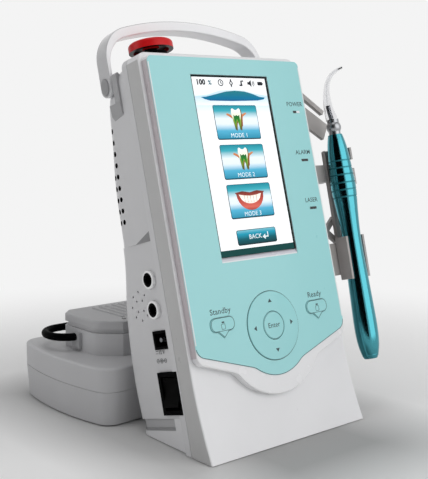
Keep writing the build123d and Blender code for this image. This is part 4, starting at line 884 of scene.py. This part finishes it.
def tooth_picture(index, u):
    """A tooth icon: gum behind, white crown, green inner part and pale roots."""
    gum_stops = [(0.0, srgb(110, 40, 20)), (0.5, srgb(180, 84, 40)), (1.0, srgb(226, 160, 110))]
    crown_stops = [(0.0, srgb(40, 70, 20)), (0.45, srgb(150, 170, 70))]
    crown_stops += [(0.62, srgb(240, 244, 220)), (1.0, PAPER)]
    pulp_stops = [(0.0, srgb(150, 180, 40)), (0.5, srgb(40, 130, 40)), (1.0, srgb(10, 80, 44))]
    gum = lit("gum_%d" % index, u - 8, u + 6, gum_stops)
    crown = lit("crown_%d" % index, u - 9, u + 8, crown_stops)
    pulp = lit("pulp_%d" % index, u - 8, u + 4, pulp_stops)
    shade = plain_lit("shade_%d" % index, srgb(116, 84, 44))
    left = [(-9.4, 2.6), (-8.6, 3.8), (-5.2, 2.6), (-4.0, 1.2), (-4.4, -0.4), (-5.4, 0.6)]
    right = [(10.2, 3.4), (9.2, 4.2), (5.2, 2.8), (3.8, 1.6)]
    right += [(3.4, -6.6), (4.8, -5.8), (5.6, -0.8), (6.2, 1.2)]
    inner = [(-2.9, 2.6), (-1.4, 1.6), (0, 2.4), (1.4, 1.6), (2.9, 2.6), (2.6, -2.0), (2.0, -6.4),
             (1.5, -4.0), (0, -0.6), (-1.5, -4.0), (-2.0, -6.4), (-2.6, -2.0)]
    shown("gum_%d" % index, gum, 3 * LAYER, [moved(left, 0, u), moved(right, 0, u)])
    shown("shade_%d" % index, shade, 3.5 * LAYER, [tooth(0.9, u - 0.5)])
    shown("crown_%d" % index, crown, 4 * LAYER, [tooth(0, u)])
    shown("pulp_%d" % index, pulp, 5 * LAYER, [moved(inner, 0, u)])


def bowl_of(half, top, depth, angles):
    """The lower curve of a crescent."""
    turns = [math.radians(angle) for angle in angles]
    return [(half * math.cos(turn), top + depth * math.sin(turn)) for turn in turns]


def smile_picture(u):
    """A plain smile icon: a red crescent with a band of white inside."""
    lip_stops = [(0.0, srgb(150, 44, 38)), (0.2, srgb(214, 104, 90))]
    lip_stops += [(0.55, srgb(186, 74, 62)), (1.0, srgb(112, 48, 40))]
    teeth_stops = [(0.0, srgb(236, 222, 206)), (0.5, srgb(255, 252, 246)), (1.0, srgb(244, 234, 222))]
    outer = [(-14.2, 5.4), (-7.0, 6.4), (0, 5.2), (7.0, 6.4), (14.2, 5.4)]
    outer += bowl_of(13.0, 4.4, 12.0, range(0, -181, -15))
    band = [(-10.8, 4.2), (-5.4, 3.2), (0, 2.8), (5.4, 3.2), (10.8, 4.2)]
    band += bowl_of(9.8, 3.2, 6.0, range(-12, -169, -13))
    gaps = [([(x, u - 1.8), (x * 1.03, u + 3.4)], 0.34, False) for x in (-5.6, -2.8, 0, 2.8, 5.6)]
    shown("lips", lit("lips", u - 8, u + 6, lip_stops), 3 * LAYER, [moved(outer, 0, u)])
    shown("teeth", lit("teeth", u - 4, u + 4, teeth_stops), 4 * LAYER, [moved(band, 0, u)])
    shown("tooth_gaps", plain_lit("tooth_gap", srgb(176, 140, 122)), 5 * LAYER, strokes=gaps)


def status_row():
    """Small generic marks along the top of the picture."""
    dark = plain_lit("status_dark", srgb(28, 32, 38))
    status_teal = plain_lit("status_teal", srgb(40, 96, 110))
    high = SCREEN + 2 * LAYER
    words("status_number", "100", -28.0, 257.1, 5.4, dark, high, bold=0.45)
    words("status_unit", "%", -19.6, 256.9, 4.6, status_teal, high, bold=0.15)
    hands = [(-9.4, 258.6), (-9.4, 257.1), (-8.4, 256.5)]
    clock = [(circle(-9.4, 257.1, 2.2, 24), 0.6, True), (hands, 0.55, False)]
    diamond = [([(-0.9, 257.0), (0.5, 258.8), (1.9, 257.0), (0.5, 255.2)], 0.7, True)]
    note = [([(8.4, 255.5), (10.5, 255.5), (10.5, 258.7), (12.8, 258.7)], 1.0, False)]
    speaker = [(16.6, 256.2), (18.0, 256.2), (20.2, 254.5), (20.2, 259.7), (18.0, 258.0), (16.6, 258.0)]
    near_wave = arc(20.4, 257.1, 1.5, -50, 50, 6)
    far_wave = arc(20.4, 257.1, 2.7, -50, 50, 6)
    waves = [(near_wave, 0.5, False), (far_wave, 0.45, False)]
    tips = [[(-0.2, 258.9), (1.2, 258.9), (0.5, 260.3)], [(-0.2, 255.1), (1.2, 255.1), (0.5, 253.7)]]
    battery = rounded(26.6, 31.4, 255.8, 258.4, 0.5)
    nub = [(31.4, 256.6), (32.0, 256.6), (32.0, 257.6), (31.4, 257.6)]
    shown("status_lines", dark, 2 * LAYER, strokes=clock + diamond + note + waves)
    shown("status_solids", dark, 2 * LAYER, tips + [speaker, battery, nub])


def screen_ground():
    """The display's dark edge, its white ground and the arch of colour near its top."""
    edge = plain_lit("screen_edge", srgb(4, 22, 24))
    shown("screen_edge", edge, -0.01, [rounded(-36.4, 36.4, 132.8, 262.4, 0.4)])
    paper_stops = [(0.0, PAPER), (0.78, PAPER), (0.86, srgb(200, 230, 238)), (0.9, PAPER), (1.0, PAPER)]
    paper = lit("screen_paper", 137.4, 261.4, paper_stops)
    shown("screen_paper", paper, 0.01, [rounded(-35.6, 34.6, 137.4, 261.0, 0.2)])
    band = plain_lit("screen_band", DEEP_TEAL)
    shown("screen_band", band, 0.01, [rounded(-36.2, 34.6, 133.0, 137.4, 0.2)])
    halo = [(-35.4, 247.0), (-24, 248.2), (-12, 251.4), (0, 252.2), (12, 251.8), (24, 249.2), (34.4, 248.0),
            (34.4, 240.6), (-35.4, 240.6)]
    halo_stops = [(0.0, PAPER), (0.6, srgb(196, 226, 240)), (1.0, srgb(214, 232, 242))]
    shown("swoop_halo", lit("swoop_halo", 240, 252, halo_stops), LAYER, [halo])
    arch = [(-30.0, 246.4), (-25, 246.8), (-16, 248.6), (-6, 250.7), (3, 251.4), (12, 250.9), (20, 249.1),
            (26, 247.1), (31.4, 246.6), (30.4, 245.3), (24, 244.3), (0, 243.7), (-22, 243.9), (-27, 245.0)]
    arch_stops = [(0.0, srgb(0, 84, 140)), (0.4, srgb(0, 112, 150)), (1.0, srgb(30, 120, 130))]
    shown("swoop", lit("swoop", 243, 251, arch_stops), 2 * LAYER, [arch])


def back_key(pale):
    """The small button at the foot of the picture."""
    back_stops = [(0.0, srgb(6, 50, 54)), (0.4, srgb(10, 92, 104))]
    back_stops += [(0.75, srgb(30, 150, 178)), (1.0, srgb(120, 190, 204))]
    back = lit("back_button", 139.8, 150.3, back_stops)
    shown("back_edge", plain_lit("back_edge", srgb(20, 40, 44)), LAYER, [rounded(-19, 19, 139.6, 150.5, 1.6)])
    shown("back_button", back, 2 * LAYER, [rounded(-18.5, 18.5, 140.2, 150.1, 1.3)])
    words("back_word", "BACK", -1.6, 145.0, 4.6, pale, SCREEN + 3 * LAYER)
    hook = [(6.4, 144.2), (10.6, 144.2), (10.6, 147.6)]
    head = [(5.2, 144.2), (8.0, 146.2), (8.0, 142.2)]
    shown("back_arrow", pale, 3 * LAYER, [head], [(hook, 0.9, False)])


def screen():
    """Everything on the display."""
    screen_ground()
    status_row()
    for index, (bottom, top) in enumerate(((215.5, 240.9), (186.7, 211.9), (158.6, 183.2))):
        button(index, bottom, top, 20.9)
    tooth_picture(0, 231.0)
    tooth_picture(1, 202.2)
    smile_picture(171.6)
    pale = plain_lit("caption", srgb(236, 247, 250))
    for index, u in enumerate((218.4, 189.6, 161.4)):
        caption = "MODE %d" % (index + 1)
        words("caption_%d" % index, caption, 0, u, 4.4, pale, SCREEN + 3 * LAYER, bold=0.0)
    back_key(pale)


front_print()
film_edge_shadow()
key_print("standby_mark", -SIDE_KEY, "standby")
key_print("ready_mark", SIDE_KEY, "ready")
lamps()
side_print()
screen()


# Floor, backdrop, light and camera
BOWL_SIDES = 72


def floor_reach(tree, where, low, high, fade):
    """0 to 1 from the edge of a rectangle on the floor to a distance away from it."""
    middle = ((low[0] + high[0]) / 2, (low[1] + high[1]) / 2, 0)
    half = ((high[0] - low[0]) / 2, (high[1] - low[1]) / 2, 0)
    size = vector(tree, "ABSOLUTE", vector(tree, "SUBTRACT", where.outputs["Object"], middle))
    past = vector(tree, "MAXIMUM", vector(tree, "SUBTRACT", size, half), (0, 0, 0))
    return scaled(tree, vector(tree, "LENGTH", past), 0.0, fade)


def painted_floor_shadow(tree, where):
    """The floor's grey, a painted shadow: darker round the footprint and in front of the console, paler away
    from them.
    """
    round_it = floor_reach(tree, where, (cad_low.x, cad_low.y), (0.06, cad_high.y), 0.06)
    ahead = floor_reach(tree, where, (-0.05, -0.15), (0.03, -0.10), 0.09)
    lifted = number(tree, "MULTIPLY_ADD", round_it, 0.65, 0.35)
    return mixed(tree, number(tree, "MINIMUM", lifted, ahead), srgb(172, 172, 172), srgb(250, 250, 250))


def studio_bowl():
    """A round floor that curves up into a backdrop on every side."""
    made, tree, shader, where = blank("studio")
    tree.nodes.remove(shader)
    output = next(node for node in tree.nodes if node.type == "OUTPUT_MATERIAL")
    diffuse = tree.nodes.new("ShaderNodeBsdfDiffuse")
    tree.links.new(painted_floor_shadow(tree, where), diffuse.inputs["Color"])
    glow = tree.nodes.new("ShaderNodeEmission")
    glow.inputs["Color"].default_value = (*srgb(244, 244, 244), 1)
    fade = tree.nodes.new("ShaderNodeMapRange")
    fade.interpolation_type = "SMOOTHSTEP"
    fade.inputs["From Min"].default_value = 0.15
    fade.inputs["From Max"].default_value = 0.55
    tree.links.new(vector(tree, "LENGTH", where.outputs["Object"]), fade.inputs["Value"])
    ray = tree.nodes.new("ShaderNodeLightPath")
    seen = largest(tree, [ray.outputs["Is %s Ray" % kind] for kind in ("Camera", "Glossy", "Transmission")])
    mix = tree.nodes.new("ShaderNodeMixShader")
    tree.links.new(product(tree, fade.outputs["Result"], seen), mix.inputs["Fac"])
    tree.links.new(diffuse.outputs["BSDF"], mix.inputs[1])
    tree.links.new(glow.outputs["Emission"], mix.inputs[2])
    tree.links.new(mix.outputs["Shader"], output.inputs["Surface"])
    profile = [(0.6, 0.0), (1.4, 0.0), (2.6, 0.0)]
    profile += [(2.6 + math.sin(math.radians(a)), 1 - math.cos(math.radians(a))) for a in range(10, 91, 10)]
    profile += [(3.6, 2.0), (3.6, 3.2)]
    mesh = bmesh.new()
    rows = []
    for radius, height in profile:
        ring = []
        for step in range(BOWL_SIDES):
            angle = 2 * math.pi * step / BOWL_SIDES
            ring.append(mesh.verts.new((radius * math.cos(angle), radius * math.sin(angle), height)))
        rows.append(ring)
    mesh.faces.new(rows[0])
    for inner, outer in zip(rows, rows[1:]):
        for step in range(BOWL_SIDES):
            after = (step + 1) % BOWL_SIDES
            mesh.faces.new((inner[step], outer[step], outer[after], inner[after]))
    data = mesh_of("studio_bowl", mesh)
    for polygon in data.polygons:
        polygon.use_smooth = True
    staged("studio_bowl", data, made)


def dark_card():
    """A black card behind the camera, seen only in reflections and through clear parts."""
    made, _, shader, _ = blank("card_black")
    shader.inputs["Base Color"].default_value = (0.004, 0.004, 0.005, 1)
    shader.inputs["Roughness"].default_value = 0.9
    shader.inputs["Specular IOR Level"].default_value = 0.0
    mesh = bmesh.new()
    low, high, half = -0.1, 1.9, 1.15
    centre = Vector((-1.21, -0.59, 0))
    across = Vector((0.438, -0.899, 0)) * half
    corners = []
    for side, height in ((-1, low), (1, low), (1, high), (-1, high)):
        corners.append(mesh.verts.new(centre + across * side + Vector((0, 0, height))))
    mesh.faces.new(corners)
    card = staged("dark_card", mesh_of("dark_card", mesh), made)
    card.visible_camera = False
    card.visible_diffuse = False
    card.visible_shadow = False


def lamp(name, place, target, size, power):
    """One soft rectangular light aimed at a point."""
    data = bpy.data.lights.new(name, "AREA")
    data.shape = "RECTANGLE"
    data.size, data.size_y = size
    data.energy = power
    light = bpy.data.objects.new(name, data)
    bpy.context.scene.collection.objects.link(light)
    light.location = place
    light.rotation_euler = (Vector(target) - Vector(place)).to_track_quat("-Z", "Y").to_euler()


def world_light(level):
    """An even grey sky."""
    world = bpy.data.worlds.new("studio_sky")
    bpy.context.scene.world = world
    world.use_nodes = True
    backdrop = world.node_tree.nodes["Background"]
    backdrop.inputs["Color"].default_value = (1, 1, 1, 1)
    backdrop.inputs["Strength"].default_value = level


# The photograph's camera: focal length and width in pixels, sensor in millimetres
FOCAL_PIXELS = 934.138
PICTURE_WIDTH = 428
SENSOR_WIDTH = 36


def camera():
    """The camera that took the photograph, solved from its straight edges."""
    data = bpy.data.cameras.new("camera")
    data.sensor_width = SENSOR_WIDTH
    data.sensor_fit = "HORIZONTAL"
    data.lens = FOCAL_PIXELS / PICTURE_WIDTH * SENSOR_WIDTH
    data.clip_start = 0.01
    data.clip_end = 20
    view = bpy.data.objects.new("camera", data)
    bpy.context.scene.collection.objects.link(view)
    view.location = (-0.4652, -0.5558, 0.2296)
    view.rotation_euler = (math.radians(82.183), 0, math.radians(-40.579))
    bpy.context.scene.camera = view


studio_bowl()
dark_card()
world_light(0.33)
lamp("key", (0.45, -1.45, 0.95), (0, 0, 0.14), (1.8, 2.0), 15)
lamp("left", (-1.5, 0.8, 0.8), (0, 0, 0.12), (0.8, 1.0), 3.4)
lamp("top", (-0.1, 0.0, 1.7), (0, 0, 0.12), (0.8, 0.8), 4)
camera()

scene = bpy.context.scene
scene.view_settings.view_transform = "Standard"
